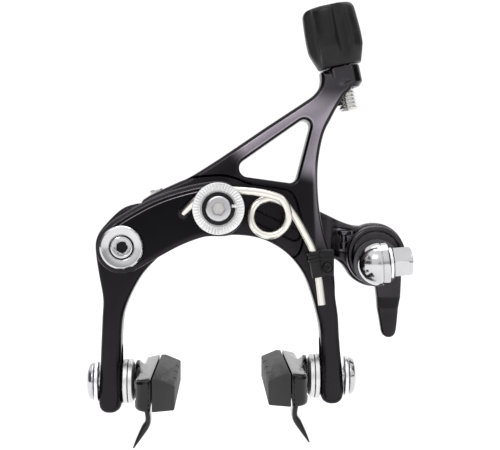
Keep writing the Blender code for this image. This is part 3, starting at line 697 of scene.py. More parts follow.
paints = {
    # The arms, bridge and lever carry painted highlights and painted shade in their colour
    "yArm": armFinish("yArmAnodised", yArmPaintedSheen),
    "cArm": armFinish("cArmAnodised", cArmPaintedLight),
    "bridge": armFinish("bridgeAnodised", bridgePaintedHighlights),
    "lever": armFinish("leverAnodised", leverPaintedLightAndShade),
    "dark": armFinish("smallPartAnodised", darkTone),
    "chrome": polished("chromePlate", (0.62, 0.62, 0.635), 0.08, 0.06),
    "washerChrome": polished("serratedChrome", (0.95, 0.95, 0.96), 0.26, 0.10),
    "steel": polished("machinedSteel", (0.60, 0.60, 0.61), 0.24, 0.20),
    "washer": polished("brushedWasher", (0.84, 0.84, 0.84), 0.36, 0.25),
    # The flange's steel is painted dark: painted shade standing for the dark reflection it shows, not the
    # steel's own colour
    "flange": polished("flangeSteel", (0.10, 0.10, 0.11), 0.22, 0.15),
    "thread": polished("threadSteel", (0.72, 0.71, 0.69), 0.34, 0.20),
    "bronze": polished("bushBronze", (0.52, 0.33, 0.16), 0.34, 0.25),
    "wire": drawnWire("springWire"),
    "knob": moulded("knobPlastic", (0.012, 0.0115, 0.0125), 0.30, 2600.0, 0.15),
    "guide": moulded("guidePlastic", (0.008, 0.008, 0.009), 0.25, 2400.0, 0.12),
    "ring": moulded("ringPlastic", (0.008, 0.008, 0.009), 0.30, 2400.0, 0.12),
    "shoe": moulded("shoePlastic", (0.004, 0.004, 0.005), 0.08, 1500.0, 0.03, coat=0.55),
}
print("materials ready")


# Frame side: mounting bolt, serrated washer and its ring

centre = aim((0, 0, 0), alongY)
boltSizes = {"radius": 3.0, "end": -22.0, "flangeRadius": 5.4, "flangeFront": 13.9, "flangeBack": 15.9,
             "key": 3.1, "keyDepth": 2.6, "pitch": 1.0, "threadTop": -6.5}


def hexagon(acrossFlats, turn=0.0):
    return circleTurned(acrossFlats / math.sqrt(3), 6, turn)


def circleTurned(radius, count, turn=0.0):
    angles = [turn + 2 * math.pi * i / count for i in range(count)]
    return [(radius * math.cos(a), radius * math.sin(a)) for a in angles]


def mountingBolt():
    s = boltSizes
    core = s["radius"] - 0.42
    profile = soften([(0, s["end"]), (s["radius"] - 0.05, s["end"], 0.4),
                      (s["radius"] - 0.05, s["end"] + 0.9), (core, s["end"] + 1.2), (core, s["threadTop"]),
                      (s["radius"], s["threadTop"] + 0.5), (s["radius"], s["flangeFront"]),
                      (s["flangeRadius"], s["flangeFront"], 0.2), (s["flangeRadius"], s["flangeBack"], 0.5),
                      (2.2, s["flangeBack"]), (1.6, s["flangeBack"] - 0.5), (0, s["flangeBack"] - 0.5)])
    bolt = turned("mountingBolt", profile, centre)
    bolt = carve(bolt, prism("key", hexagon(s["key"], 0.2), s["end"] - 1, s["end"] + s["keyDepth"], centre))
    ridge = thread("boltThread", centre, s["radius"] - 0.45, s["pitch"], s["end"] + 1.2, s["threadTop"])
    dress(join(bolt, ridge), paints["steel"], "mounting_bolt")
    floor = rod(1.52, s["end"] + 1.9, s["end"] + 2.5, centre, 6, "boltKeyFloor")
    dress(floor, paints["thread"], (), "bridge_group")


washerSizes = {"bore": 3.3, "seat": 4.55, "rim": 6.72, "face": 0.18, "teeth": 48, "back": 3.0, "hub": 3.9,
               "flange": 0.95}


def serratedWasher():
    s = washerSizes
    profile = soften([(s["bore"], s["back"], 0.1), (s["bore"], 0.7), (s["seat"], 0.7),
                      (s["seat"], s["face"], 0.12), (s["rim"], s["face"], 0.16),
                      (s["rim"], s["flange"], 0.12), (s["hub"], s["flange"], 0.05),
                      (s["hub"], s["back"], 0.15)], 3, closed=True)
    washer = turned("serratedWasher", profile, centre, 84, ring=True)
    low, high = s["seat"] + 0.22, s["rim"] - 0.25
    tooth = solid("tooth", [(low, -0.10, -s["face"] - 0.02), (low, 0.10, -s["face"] - 0.02), (low, 0, -0.01),
                            (high, -0.24, -s["face"] - 0.02), (high, 0.24, -s["face"] - 0.02),
                            (high, 0, -0.01)],
                  [(0, 2, 1), (3, 4, 5), (0, 1, 4, 3), (1, 2, 5, 4), (2, 0, 3, 5)])
    teeth = spokes("washerTeeth", tooth, s["teeth"], aim((0, 0, 0), -alongY), paints["washerChrome"])
    dress(washer, paints["washer"], "serrated_washer", angle=25)
    dress(teeth, paints["washerChrome"], (), "bridge_group", 20)


def splitRing():
    profile = soften([(3.3, -0.1, 0.12), (4.3, -0.1, 0.2), (4.3, 0.4), (3.3, 0.4)], 3, closed=True)
    ring = turned("splitRing", profile, centre, 72, ring=True)
    cutter = prism("split", [(2.9, -0.55), (4.8, -0.55), (4.8, 0.95), (2.9, 0.95)], -1.2, 0.3, centre)
    dress(carve(ring, cutter), paints["ring"], "split_ring")
    tab = solid("washerTab", *boxMesh((3.35, -0.12, 0.3), (4.62, 0.35, 1.05), 0.1))
    dress(tab, paints["washerChrome"], (), "bridge_group")


def boxMesh(low, high, bevel):
    # A block with its edges cut back
    bm = bmesh.new()
    bmesh.ops.create_cube(bm, size=1)
    size, middle = Vector(high) - Vector(low), (Vector(high) + Vector(low)) / 2
    bmesh.ops.transform(bm, verts=bm.verts, matrix=Matrix.Translation(middle) @ Matrix.Diagonal((*size, 1)))
    bmesh.ops.bevel(bm, geom=bm.edges[:], offset=bevel, segments=3, affect="EDGES", profile=0.5)
    bm.verts.index_update()
    verts = [v.co.copy() for v in bm.verts]
    faces = [tuple(v.index for v in f.verts) for f in bm.faces]
    bm.free()
    return verts, faces


mountingBolt()
serratedWasher()
splitRing()
print("mounting bolt and washer made")


# Bridge and offset pivot

offsetPivot = Vector((-25.0, 0, -10.0))
offset = aim(offsetPivot, alongY)
bridgeSizes = {"front": 3.3, "back": 9.0, "rim": 0.5, "stepDepth": 0.55, "slotDepth": 2.2}


def bridgeOutline():
    top = [(-0.3, 7.2), (-4.3, 6.7), (-9.5, 5.5), (-14.8, 3.8), (-20.1, 1.4), (-26.7, -2.5), (-30.6, -5.9)]
    bottom = [(-21.6, -16.0), (-15.4, -12.5), (-9.5, -9.4), (-4.3, -7.5), (-1.2, -7.1)]
    pivot = (offsetPivot.x, offsetPivot.z)
    return (arc((0, 0), 7.2, -99, 92, 40) + smooth(top) + arc(pivot, 6.9, 144, 299, 30) + smooth(bottom))


def bridge():
    s = bridgeSizes
    outline = bridgeOutline()
    slot = pill((-9.3, -1.5), (-5.0, 2.9), 1.5)
    seat = circle((offsetPivot.x, offsetPivot.z), 5.8)

    def front(p):
        edge = distanceTo(p, [resample(outline, 0.6)])
        upper = step01(p[:, 1] - (-0.55 * (p[:, 0] + 12) ** 2 / 60 + 0.35 * p[:, 0] + 2.5), -1.0, 1.5)
        terraces = s["stepDepth"] * (1 - step01(edge, 0.95, 1.35))
        terraces += 0.30 * (1 - step01(edge, 1.9, 2.3)) * upper
        gap = distanceTo(p, [resample(slot, 0.4)])
        pocket = np.where(inside(p, [slot]), step01(gap, 0.0, 0.28), 0) * s["slotDepth"]
        well = np.where(inside(p, [seat]), step01(distanceTo(p, [seat]), 0, 0.2), 0) * 0.2
        return s["front"] + terraces + pocket + well

    def back(p):
        return np.full(len(p), s["back"])

    inner = offsetLoop(outline, 1.15)
    second = offsetLoop(outline, 2.1)
    holes = [circle((0, 0), 3.05), circle((offsetPivot.x, offsetPivot.z), 2.55)]
    body = plate("bridgeBody", outline, front, back, holes,
                 [(slot, 0.5), (seat, 0.4), (inner, 0.5), (second, 0.5)], rim=s["rim"], spacing=0.7)
    dress(body, paints["bridge"], "bridge", angle=40)


def offsetLoop(outline, inset):
    # The outline moved inwards, leaving out points that fall too near it
    flat, normal = normals(resample(outline, 0.5))
    moved = flat + normal * inset
    if not inside(moved, [outline]).mean() > 0.5:
        moved = flat - normal * inset
    keep = distanceTo(moved, [resample(outline, 0.5)]) > inset * 0.95
    return [tuple(p) for p in moved[keep]]


starSizes = {"head": 2.85, "front": 1.9, "seat": 3.8, "end": 23.4, "deep": 2.3}


def starOutline(radius, count=6):
    # A six-lobed driver recess
    points = []
    for i in range(count * 10):
        angle = 2 * math.pi * i / (count * 10)
        points.append(((radius + 0.28 * math.cos(count * angle)) * math.cos(angle),
                       (radius + 0.28 * math.cos(count * angle)) * math.sin(angle)))
    return points


def offsetBolt():
    s = starSizes
    profile = soften([(0, s["front"] + 0.1), (2.25, s["front"] + 0.1, 0.08), (2.4, s["front"], 0.05),
                      (s["head"], s["front"] + 0.15, 0.12), (s["head"], s["seat"] - 0.6),
                      (2.45, s["seat"] - 0.6), (2.45, 20.4), (2.2, 20.4), (2.2, s["end"] - 0.3, 0.1),
                      (1.9, s["end"]), (0, s["end"])])
    bolt = turned("offsetBolt", profile, offset, 64)
    bolt = carve(bolt, prism("star", starOutline(1.75), 1.0, s["front"] + s["deep"], offset),
                 turned("bore", [(0, 1.0), (1.5, 1.0), (1.5, 9.0), (0, 9.8)], offset, 40))
    ridge = thread("offsetThread", offset, 2.22, 0.8, 20.6, s["end"] - 0.3)
    dress(join(bolt, ridge), paints["chrome"], "offset_pivot_bolt")
    # A dark disc down the bore: painted shade standing for the darkness inside the hole
    shade = rod(1.45, 5.2, 5.8, offset, 40, "offsetBore")
    dress(shade, paints["ring"], (), "bridge_group")
    dish = soften([(3.15, 3.2, 0.05), (3.15, 2.1, 0.1), (3.45, 1.75, 0.15), (5.25, 1.45, 0.25),
                   (5.62, 1.95, 0.25), (5.62, 3.2, 0.1)], 4, closed=True)
    dress(turned("offsetWasher", dish, offset, 96, ring=True),
          polished("offsetWasherMetal", (0.66, 0.66, 0.67), 0.09, 0.08, offsetPivot), "offset_cone_washer")


def hexNut(name, matrix, across, bore, low, high, material, node, turn=0.0):
    # A nut with its corners turned down at both faces and a chamfered bore
    corner = across / math.sqrt(3)
    nut = prism(name, hexagon(across, turn), low, high, matrix)
    collar = turned("collar", [(0, low), (across / 2 - 0.05, low), (corner + 0.05, low + 0.42),
                               (corner + 0.05, high - 0.42), (across / 2 - 0.05, high), (0, high)], matrix,
                    64)
    nut = carve(nut, collar, operation="INTERSECT")
    nut = carve(nut, turned("bore", [(0, low - 1), (bore + 0.6, low - 0.2), (bore, low + 0.4),
                                     (bore, high - 0.4), (bore + 0.6, high + 0.2), (0, high + 1)], matrix,
                            48))
    dress(nut, material, node, angle=25)


bridge()
offsetBolt()
hexNut("offsetNut", offset, 8.0, 2.52, 20.3, 23.0, paints["steel"], "offset_pivot_nut", 0.25)
print("bridge and offset pivot made")


# Return spring

springSizes = {"wire": 0.98, "hub": 3.9, "coil": 4.75, "turns": 1.12}
coilCentre = Vector((13.2, 0, -2.2))


def springRoute():
    s = springSizes
    over = s["hub"] + s["wire"] + 0.15
    lead = [Vector((-9.0, 4.6, -1.2)), Vector((-7.4, 3.4, 0.5)), Vector((-5.6, 2.3, 2.3))]
    angles = map(math.radians, (125, 110, 95, 84))
    hub = [Vector((over * math.cos(a), 2.1, over * math.sin(a))) for a in angles]
    top = [Vector((4.0, 2.05, 4.75)), Vector((8.2, 2.0, 4.5)), Vector((12.0, 2.0, 4.0))]
    coil, steps = [], 44
    for step in range(steps + 1):
        t = step / steps
        angle = math.radians(62) - 2 * math.pi * s["turns"] * t
        radius = s["coil"] + abs(2 * t - 1) ** 5
        coil.append(coilCentre + Vector((radius * math.cos(angle), 2.0 + 2.5 * t, radius * math.sin(angle))))
    leg = [Vector((20.7, 4.9, -3.2)), Vector((22.9, 5.6, -7.2)), Vector((24.9, 6.2, -10.9)),
           Vector((25.9, 6.3, -15.5)), Vector((26.6, 6.3, -20.0)), Vector((27.2, 6.3, -25.3))]
    return lead + hub + top + coil + leg


spring = sweep("returnSpring", springRoute(), springSizes["wire"], paints["wire"])
dress(spring, paints["wire"], "return_spring", angle=50,
      bends=("bridge_group", "y_arm_group", (0.0165, 0.004, 0.0), (0.0245, 0.006, -0.0105)))
print("return spring made")


# Y arm

yArmSizes = {"front": 8.3, "recess": 1.0, "limbFront": 9.3, "back": 16.5, "limbBack": 17.4, "rim": 1.15,
             "pocket": 3.0}
barrelTop = Vector((32.6, 12.8, 37.6))
barrelTilt = math.radians(12.0)
barrelUp = Vector((-math.sin(barrelTilt), 0, math.cos(barrelTilt)))
barrel = aim(barrelTop, barrelUp)
windowOutline = rounded([(1.5, 9.2, 2.4), (20.4, 6.6, 2.1), (25.4, 25.9, 1.7)])


def yArmOutline():
    arch = [(1.5, -7.35), (4.5, -7.0), (9.9, -7.6), (14.6, -9.4), (19.0, -12.6), (22.6, -17.3),
            (24.9, -23.2), (26.4, -28.8), (26.95, -31.5), (27.2, -35.0), (27.2, -48.9)]
    foot = [(27.2, -48.9), (27.7, -50.9), (29.0, -51.9), (30.5, -52.1), (31.9, -51.8), (33.0, -50.7),
            (33.4, -48.9)]
    outer = [(33.4, -48.9), (33.2, -44.3), (32.3, -35.0), (31.9, -29.0), (31.1, -23.6), (30.9, -19.5),
             (30.2, -13.6), (28.2, -7.5), (26.8, -0.1), (26.3, 7.2), (26.6, 13.5), (27.9, 19.8),
             (29.9, 24.0), (31.6, 27.2), (33.3, 30.0)]
    head = [(35.1, 31.6), (35.8, 33.5), (34.8, 37.3), (27.2, 36.2)]
    strut = [(27.2, 36.2), (27.3, 34.2), (26.9, 32.3), (25.7, 30.6), (23.4, 28.7), (12.8, 21.7), (2.6, 14.8),
             (-2.6, 11.4), (-7.5, 8.4), (-10.3, 7.2), (-14.5, 5.3), (-18.3, 3.5)]
    tail = [(-18.3, 3.5), (-20.3, 1.9), (-20.4, -0.6), (-18.5, -2.0)]
    under = [(-18.5, -2.0), (-13.0, -3.6), (-8.0, -6.0), (-3.5, -7.2), (1.5, -7.35)]
    return (smooth(arch) + smooth(foot, 4) + smooth(outer) + head + smooth(strut) + smooth(tail)
            + smooth(under))


def slotTool(pad):
    # The slot through the limb that the shoe's bolt passes
    low, high = pad["slot"]
    ends = sorted(pad["sign"] * (pad[face] + grow) for face, grow in (("inner", -4), ("outer", 4)))
    sideways = Matrix(((0, 0, 1, 0), (1, 0, 0, 0), (0, 1, 0, 0), (0, 0, 0, 1)))
    return prism("padSlot", pill((shoeSizes["middle"], low), (shoeSizes["middle"], high), 2.9), *ends,
                 sideways)


shoeSizes = {"middle": 13.35, "front": -10.8, "back": 37.4}
pads = (
    {"side": "left", "sign": -1, "outer": 31.6, "inner": 25.6, "face": 10.9, "height": -46.2,
     "slot": (-49.3, -39.2)},
    {"side": "right", "sign": 1, "outer": 33.4, "inner": 27.2, "face": 12.4, "height": -45.0,
     "slot": (-47.2, -37.4)},
)


def yArm():
    s = yArmSizes
    outline = yArmOutline()
    hollow = smooth([(-26, 12), (-14, 7.9), (-6, 8.7), (2, 9.0), (9, 6.7), (15, 5.8), (19.6, 4.4),
                     (21.8, -1.0), (22.8, -7.0), (20.5, -13.0), (12, -12.5), (2, -12), (-12, -14),
                     (-26, -14)], 5)
    kidney = resample(pill((9.0, -1.6), (20.2, -7.0), 1.8), 0.35)

    def front(p):
        x, z = p[:, 0], p[:, 1]
        limb = step01(-z, 20, 34) * (s["limbFront"] - s["front"])
        recess = np.where(inside(p, [hollow]), step01(distanceTo(p, [hollow]), 0, 0.56), 0) * s["recess"]
        pocket = np.where(inside(p, [kidney]), step01(distanceTo(p, [kidney]), 0, 0.45), 0) * s["pocket"]
        lean = step01(z - 0.7 * x, 2, 9) * np.clip(z - (0.69 * x + 10.0), -6, 9) * 0.07  # strut tips upwards
        gap = np.clip(distanceTo(p, [resample(outline, 0.7)]), 0, 3.4)
        crown = 0.22 * (1 - gap / 3.4) ** 2 * (1 - step01(-z, 26, 34))
        bulge = 0.55 * (1 - gap / 3.4) ** 2 * step01(-z, 26, 34)
        return s["front"] + limb + recess + pocket + np.maximum(lean, -0.3) + crown + bulge

    def back(p):
        z = p[:, 1]
        gap = np.clip(distanceTo(p, [resample(outline, 0.7)]), 0, 3.0)
        return s["back"] + step01(-z, 20, 32) * (s["limbBack"] - s["back"]) - 0.25 * (1 - gap / 3.0) ** 2

    holes = [windowOutline, circle((0, 0), 4.5)]
    body = plate("yArmBody", outline, front, back, holes, [(hollow, 1.0), (kidney, 0.8)], rim=s["rim"],
                 spacing=0.72)
    boss = turned("boss", soften([(0, -5.8), (3.9, -5.8, 0.4), (5.1, -4.6, 0.5), (5.1, 0, 0.35), (2.58, 0),
                                  (2.58, -0.4), (0, -0.4)], 4), barrel, 80)
    boss = carve(boss, solid("facing", *boxMesh((20, 0, 20), (50, 8.45, 50), 0.01)))
    neck = loft("neck", neckRings())
    body = carve(body, boss, operation="UNION")
    body = carve(body, neck, operation="UNION")
    body = carve(body, rod(2.58, -13, 3, barrel, 48), slotTool(pads[1]))
    dress(body, paints["yArm"], "y_arm", angle=38)


def neckRings():
    # The forging swells from the flat arm up into the round boss
    rings = []
    for share in np.linspace(0, 1, 9):
        centreX, centreZ = 30.2 + 3.2 * share, 27.0 + 6.6 * share
        halfX, halfY = 2.2 + 2.4 * share, 2.6 + 1.9 * share
        ring = []
        for i in range(40):
            a = 2 * math.pi * i / 40
            x, y = halfX * math.cos(a), halfY * math.sin(a)
            ring.append((centreX + x * 0.95, 12.5 + y, centreZ + x * 0.22))
        rings.append(ring)
    return rings


yArm()
print("Y arm made")


# Spring guide on the limb

guideSizes = {"bore": 1.25, "sleeve": 1.72}
guideTop, guideBottom = Vector((24.95, 6.25, -11.2)), Vector((26.3, 6.3, -18.0))
guideScrew = aim((28.5, 0, -15.3), alongY)


def springGuide():
    s = guideSizes
    along = guideTop - guideBottom
    sleeveFrame = aim(guideBottom, along)
    length = along.length
    ring = s["sleeve"] + 0.28
    profile = soften([(0, 0), (s["sleeve"], 0, 0.25), (s["sleeve"], length - 2.7), (ring, length - 2.5, 0.1),
                      (ring, length - 1.9, 0.1), (s["sleeve"], length - 1.7), (s["sleeve"], length - 1.0),
                      (ring, length - 0.8, 0.1), (ring, length, 0.2), (0, length)], 3)
    guide = turned("springGuide", profile, sleeveFrame, 40)
    foot = solid("foot", *boxMesh((26.0, 5.1, -17.6), (30.3, 8.1, -10.7), 0.45))
    guide = carve(guide, foot, operation="UNION")
    guide = carve(guide, rod(s["bore"], -2, length + 2, sleeveFrame, 32),
                  turned("well", [(0, 3), (1.5, 3), (1.5, 5.85), (0.8, 5.85), (0.8, 9), (0, 9)], guideScrew,
                         32))
    shelf = solid("rib", *boxMesh((26.6, 4.75, -11.3), (30.1, 5.4, -10.85), 0.12))
    ribs = row("guideRibs", shelf, 2, (0, 0, -2.1), paints["guide"])
    dress(join(guide, ribs), paints["guide"], "spring_guide", angle=35)
    head = soften([(0, 4.6), (0.75, 4.6, 0.15), (1.18, 4.95, 0.12), (1.18, 5.5), (0.55, 5.5), (0.55, 7.7),
                   (0, 7.7)], 3)
    screw = turned("guideScrew", head, guideScrew, 40)
    screw = carve(screw, prism("key", hexagon(1.1), 4.0, 5.15, guideScrew))
    dress(screw, paints["ring"], "guide_screw")


springGuide()
print("spring guide made")


# C arm with its small screws

cArmSizes = {"limbFront": 9.3, "limbBack": 17.4, "front": 17.0, "back": 23.2, "bossFront": 18.6,
             "bossBack": 24.6, "pivotBack": 20.0, "bossRadius": 8.7, "rim": 1.1}
leverAxis = Vector((42.6, 0, -12.6))
centringAxis = aim((-16.4, 20.0, 3.0), (-0.25, 0, 0.97))


def cArmOutline():
    arch = [(-25.6, -51.0), (-25.7, -38.0), (-25.6, -32.0), (-24.8, -26.8), (-22.1, -20.5), (-18.6, -15.5),
            (-12.3, -10.0), (-6.0, -7.4), (0.0, -6.3), (8.0, -6.5), (15.0, -8.2), (24.0, -11.2),
            (30.9, -13.4), (33.6, -15.0), (35.5, -17.5)]
    top = [(38.9, -4.7), (36.3, -4.4), (33.4, -3.4), (30.3, -2.0), (22.0, 1.7), (12.0, 4.4), (2.0, 5.6),
           (-8.0, 4.9), (-15.0, 3.3), (-20.0, 1.8), (-25.3, 0.1), (-30.0, -4.3), (-32.1, -7.5),
           (-32.5, -11.0), (-31.7, -17.0), (-30.6, -23.6), (-30.8, -29.0), (-31.2, -38.0), (-31.8, -50.5)]
    foot = [(-31.8, -50.5), (-31.5, -52.8), (-30.4, -54.0), (-28.8, -54.3), (-27.3, -54.0), (-26.0, -52.8),
            (-25.6, -51.0)]
    boss = arc((leverAxis.x, leverAxis.z), cArmSizes["bossRadius"], 215, 475, 60)
    return smooth(arch) + boss + smooth(top) + smooth(foot, 4)


def cArm():
    s = cArmSizes
    outline = cArmOutline()
    swing = smooth([(-21.4, 12), (-21.6, 2), (-21.9, -4.5), (-20.2, -8.8), (-17.0, -11.8), (-14.8, -15.5),
                    (-14.0, -22)], 6) + [(60, -22), (60, 12)]
    pocket = resample(rounded([(31.0, -4.6, 0.8), (31.0, -11.4, 1.2), (37.4, -13.0, 1.2),
                               (37.4, -5.8, 0.8)]), 0.35)

    def front(p):
        x = p[:, 0]
        gap = distanceTo(p, [swing])
        setBack = np.where(inside(p, [swing]), step01(gap, 0, 0.6), 0) * (s["front"] - s["limbFront"])
        boss = step01(x, 29.5, 33.5) * (s["bossFront"] - s["front"])
        well = np.where(inside(p, [pocket]), step01(distanceTo(p, [pocket]), 0, 0.38), 0) * 2.4
        edge = np.clip(distanceTo(p, [resample(outline, 0.7)]), 0, 2.9)
        crown = 0.5 * (1 - edge / 2.9) ** 2 * step01(-p[:, 1], 20, 28)
        return s["limbFront"] + setBack + boss + well + crown

    def back(p):
        x, z = p[:, 0], p[:, 1]
        base = s["pivotBack"] + step01(x, -19.0, -12.0) * (s["back"] - s["pivotBack"])
        base += step01(x, 20.0, 30.0) * (s["bossBack"] - s["back"])
        return base + (s["limbBack"] - base) * step01(-z, 18, 26) * step01(-x, 8, 14)

    holes = [circle((offsetPivot.x, offsetPivot.z), 3.95), circle((leverAxis.x, leverAxis.z), 2.8)]
    body = plate("cArmBody", outline, front, back, holes, [(swing, 1.1), (pocket, 0.7)], rim=s["rim"],
                 spacing=0.75)
    body = carve(body, rod(1.35, -6.5, 6, centringAxis, 32),
                 slotTool(pads[0]))
    dress(body, paints["cArm"], "c_arm", angle=38)


def smallScrews():
    profile = soften([(0, -5.5), (0.82, -5.5), (0.82, 0.2), (1.8, 0.3, 0.1), (1.8, 2.4, 0.35), (0, 2.4)], 4)
    screw = turned("centringScrew", profile, centringAxis, 48)
    screw = carve(screw, prism("key", hexagon(1.9), 1.0, 4, centringAxis))
    ridge = thread("centringThread", centringAxis, 0.86, 0.5, -5.3, 0.1)
    dress(join(screw, ridge), paints["steel"], "centring_screw")
    stop = soften([(0, -11.1), (1.4, -11.1, 0.3), (1.4, -9.2, 0.2), (0.9, -9.0), (0.9, -7.4),
                   (2.0, -7.2, 0.2), (2.0, -6.2, 0.2), (1.2, -5.9), (0, -5.9)], 3)
    dress(turned("stopScrew", stop, Matrix.Translation((34.4, 19.6, 0)), 48), paints["dark"], "stop_screw")


cArm()
smallScrews()
print("C arm and screws made")


# Quick release and cable anchor

lever = aim(leverAxis, alongY)
leverSizes = {"radius": 8.0, "front": 13.6, "back": 17.6, "tailFront": 16.2, "tailBack": 19.5,
              "bend": (-11.3, -14.6), "rim": 0.9}


def leverOutline():
    x, z = leverAxis.x, leverAxis.z
    disc = arc((x, z), leverSizes["radius"], -30, 268, 70)
    tail = [disc[-1], (x + 0.4, z - 13.0), (x + 1.3, z - 18.0), (x + 1.8, z - 20.9), (x + 2.6, z - 22.1),
            (x + 3.8, z - 22.5), (x + 5.0, z - 22.1), (x + 5.7, z - 20.9), (x + 6.1, z - 18.0),
            (x + 6.5, z - 13.0), disc[0]]
    return disc + smooth(tail, 9)


def quickRelease():
    s = leverSizes
    outline = leverOutline()
    x0, z0 = leverAxis.x, leverAxis.z
    hub = circle((x0, z0), 6.9)

    def bend(p):
        return np.clip((z0 + s["bend"][0] - p[:, 1]) / (s["bend"][0] - s["bend"][1]), 0, 1)

    def front(p):
        dish = np.where(inside(p, [hub]), step01(distanceTo(p, [hub]), 0, 0.6), 0) * 0.35
        return s["front"] + bend(p) * (s["tailFront"] - s["front"]) + dish

    def back(p):
        return s["back"] + bend(p) * (s["tailBack"] - s["back"])

    seam = [(x0 - 4, z0 + s["bend"][0]), (x0 + 12, z0 + s["bend"][0]), (x0 + 12, z0 + s["bend"][1]),
            (x0 - 4, z0 + s["bend"][1])]
    body = plate("leverBody", outline, front, back, (), [(hub, 0.7), (seam, 0.3)], rim=s["rim"], spacing=0.6)
    body = carve(body, rod(2.55, 15.9, 20, lever, 40),
                 rod(2.25, 10, 15.3, stud, 40))
    dress(body, paints["lever"], "qr_lever", angle=24)
    shaft = soften([(0, 16.2), (2.5, 16.2), (2.5, 24.7), (2.15, 24.7), (2.15, 27.3, 0.1), (1.8, 27.6),
                    (0, 27.6)], 3)
    ridge = thread("leverThread", lever, 2.17, 0.8, 24.8, 27.3)
    dress(join(turned("leverShaft", shaft, lever, 48), ridge), paints["steel"], "lever_shaft")
    hexNut("leverNut", lever, 8.0, 2.52, 24.9, 27.0, paints["steel"], "lever_nut", 0.1)


anchorSizes = {"dome": 5.75, "tilt": math.radians(5.0), "y": 8.2, "eccentricity": 2.0}
stud = aim(leverAxis - Vector((0, 0, anchorSizes["eccentricity"])), alongY)
anchorCentre = leverAxis + Vector((0, anchorSizes["y"], -anchorSizes["eccentricity"]))
anchor = aim(anchorCentre, (math.cos(anchorSizes["tilt"]), 0, math.sin(anchorSizes["tilt"])))


def cableAnchor():
    dome = anchorSizes["dome"]
    angles = map(math.radians, range(-86, 1, 4))
    ball = [(0, -dome)] + [(dome * math.cos(a), dome * math.sin(a)) for a in angles]
    profile = ball + [(dome - 0.06, 0.12), (5.42, 0.26), (5.42, 0.42), (5.62, 0.5), (5.62, 1.95),
                      (5.4, 2.2), (2.0, 2.2), (2.0, 1.9), (0, 1.9)]
    body = turned("anchorBody", profile, anchor, 96)
    body = carve(body, solid("flat", *boxMesh((20, 13, -40), (60, 20, 10), 0.01)))
    body = carve(body, rod(1.9, -2, 6, anchor, 40))
    dress(body, paints["chrome"], "anchor_body")
    # The flange wears the flange paint, painted dark as painted shade
    flange = soften([(0, 10.5), (2.1, 10.5), (2.1, 12.7), (6.35, 12.7, 0.15), (6.35, 13.3, 0.15),
                     (2.0, 13.3), (2.0, 15.0), (0, 15.0)], 3)
    dress(turned("anchorFlange", flange, stud, 96), paints["flange"], (), "anchor_group")
    washerRing("clampWasher", 1.95, 2.5, 4.2, 3.3, 0.12, anchor, "washerChrome", "clamp_washer", 72)
    head = prism("anchorBolt", hexagon(7.5, 0.42), 3.6, 8.5, anchor)
    head = carve(head, turned("cone", [(0, 3.6), (4.25, 3.6), (4.4, 4.0), (4.25, 7.0), (3.65, 8.3),
                                       (3.3, 8.5), (0, 8.5)],
                              anchor, 64), operation="INTERSECT")
    head = carve(head, rod(1.6, -1.5, 5.0, anchor, 32), operation="UNION")
    head = carve(head, prism("key", hexagon(4.0, 0.42), 5.6, 12, anchor))
    dress(head, paints["chrome"], "anchor_bolt", angle=24)


quickRelease()
cableAnchor()
print("quick release and anchor made")


# Barrel adjuster

knobSizes = {"flutes": 5, "fluteRadius": 3.0, "fluteReach": 9.3, "turn": math.radians(-4), "round": 0.16}


def knob():
    # Round rounds the edge between a flute and the barrel
    s = knobSizes
    outer = smooth([(5.3, 0.4), (5.8, 0.55), (6.2, 1.5), (7.0, 3.6), (7.5, 5.2), (7.6, 6.8), (7.6, 8.5),
                    (7.45, 11.6), (7.2, 14.6), (6.95, 15.6), (6.3, 16.4), (5.5, 16.6)], 4)
    count = 180
    rings = []
    for radius, height in outer:
        ring = []
        for i in range(count):
            angle = 2 * math.pi * i / count
            nearest = (angle - s["turn"]) % (2 * math.pi / s["flutes"])
            away = min(nearest, 2 * math.pi / s["flutes"] - nearest)
            cross = s["fluteRadius"] ** 2 - (s["fluteReach"] * math.sin(away)) ** 2
            reach = radius
            if cross > 0:
                cut = s["fluteReach"] * math.cos(away) - math.sqrt(cross)
                blend = s["round"]
                reach = -blend * math.log(math.exp(-radius / blend) + math.exp(-cut / blend))
            ring.append(barrel @ Vector((reach * math.cos(angle), reach * math.sin(angle), height)))
        rings.append(ring)
    body = loft("knob", rings)
    bore = turned("bore", [(0, 0), (2.75, 0), (2.75, 12.8), (4.4, 12.8), (4.4, 20), (0, 20)], barrel, 72)
    dress(carve(body, bore), paints["knob"], "adjuster_knob", angle=40)


stemSizes = {"cable": 1.0, "radius": 2.5, "bottom": -11.5, "top": 12.5, "pitch": 1.0, "slit": 0.36}


def stem():
    s = stemSizes
    core = s["radius"] - 0.42
    slitPlace = barrel @ Matrix.Rotation(math.radians(68), 4, "Z")
    halves = []
    tubeProfile = soften([(s["cable"], s["bottom"]), (core, s["bottom"], 0.2), (core, s["top"]),
                          (s["cable"], s["top"])],
                         3, closed=True)
    halves.append(turned("stem", tubeProfile, barrel, 64, ring=True))
    halves.append(thread("stemThread", barrel, s["radius"] - 0.42, s["pitch"], s["bottom"] + 0.3, 0.5))
    for i, part in enumerate(halves):
        tool = solid("slit", *boxMesh((-5, -s["slit"], -20), (5, s["slit"], -5.0), 0.02))
        halves[i] = carve(part, place(tool, slitPlace))
    dress(join(*halves), paints["thread"], "adjuster_stem", angle=30)
    cup = soften([(s["cable"], 13.1), (4.1, 13.1, 0.1), (4.1, 16.9, 0.3), (3.1, 17.1, 0.3), (2.7, 16.2),
                  (2.7, 14.0), (s["cable"], 14.0)], 4, closed=True)
    dress(turned("housingSeat", cup, barrel, 72, ring=True), paints["washerChrome"], "housing_seat")


knob()
stem()
print("barrel adjuster made")


# Brake shoes

def padSection(pad, corners, steps=5):
    return rounded([(pad["sign"] * x, z, r) for x, z, r in corners], steps)


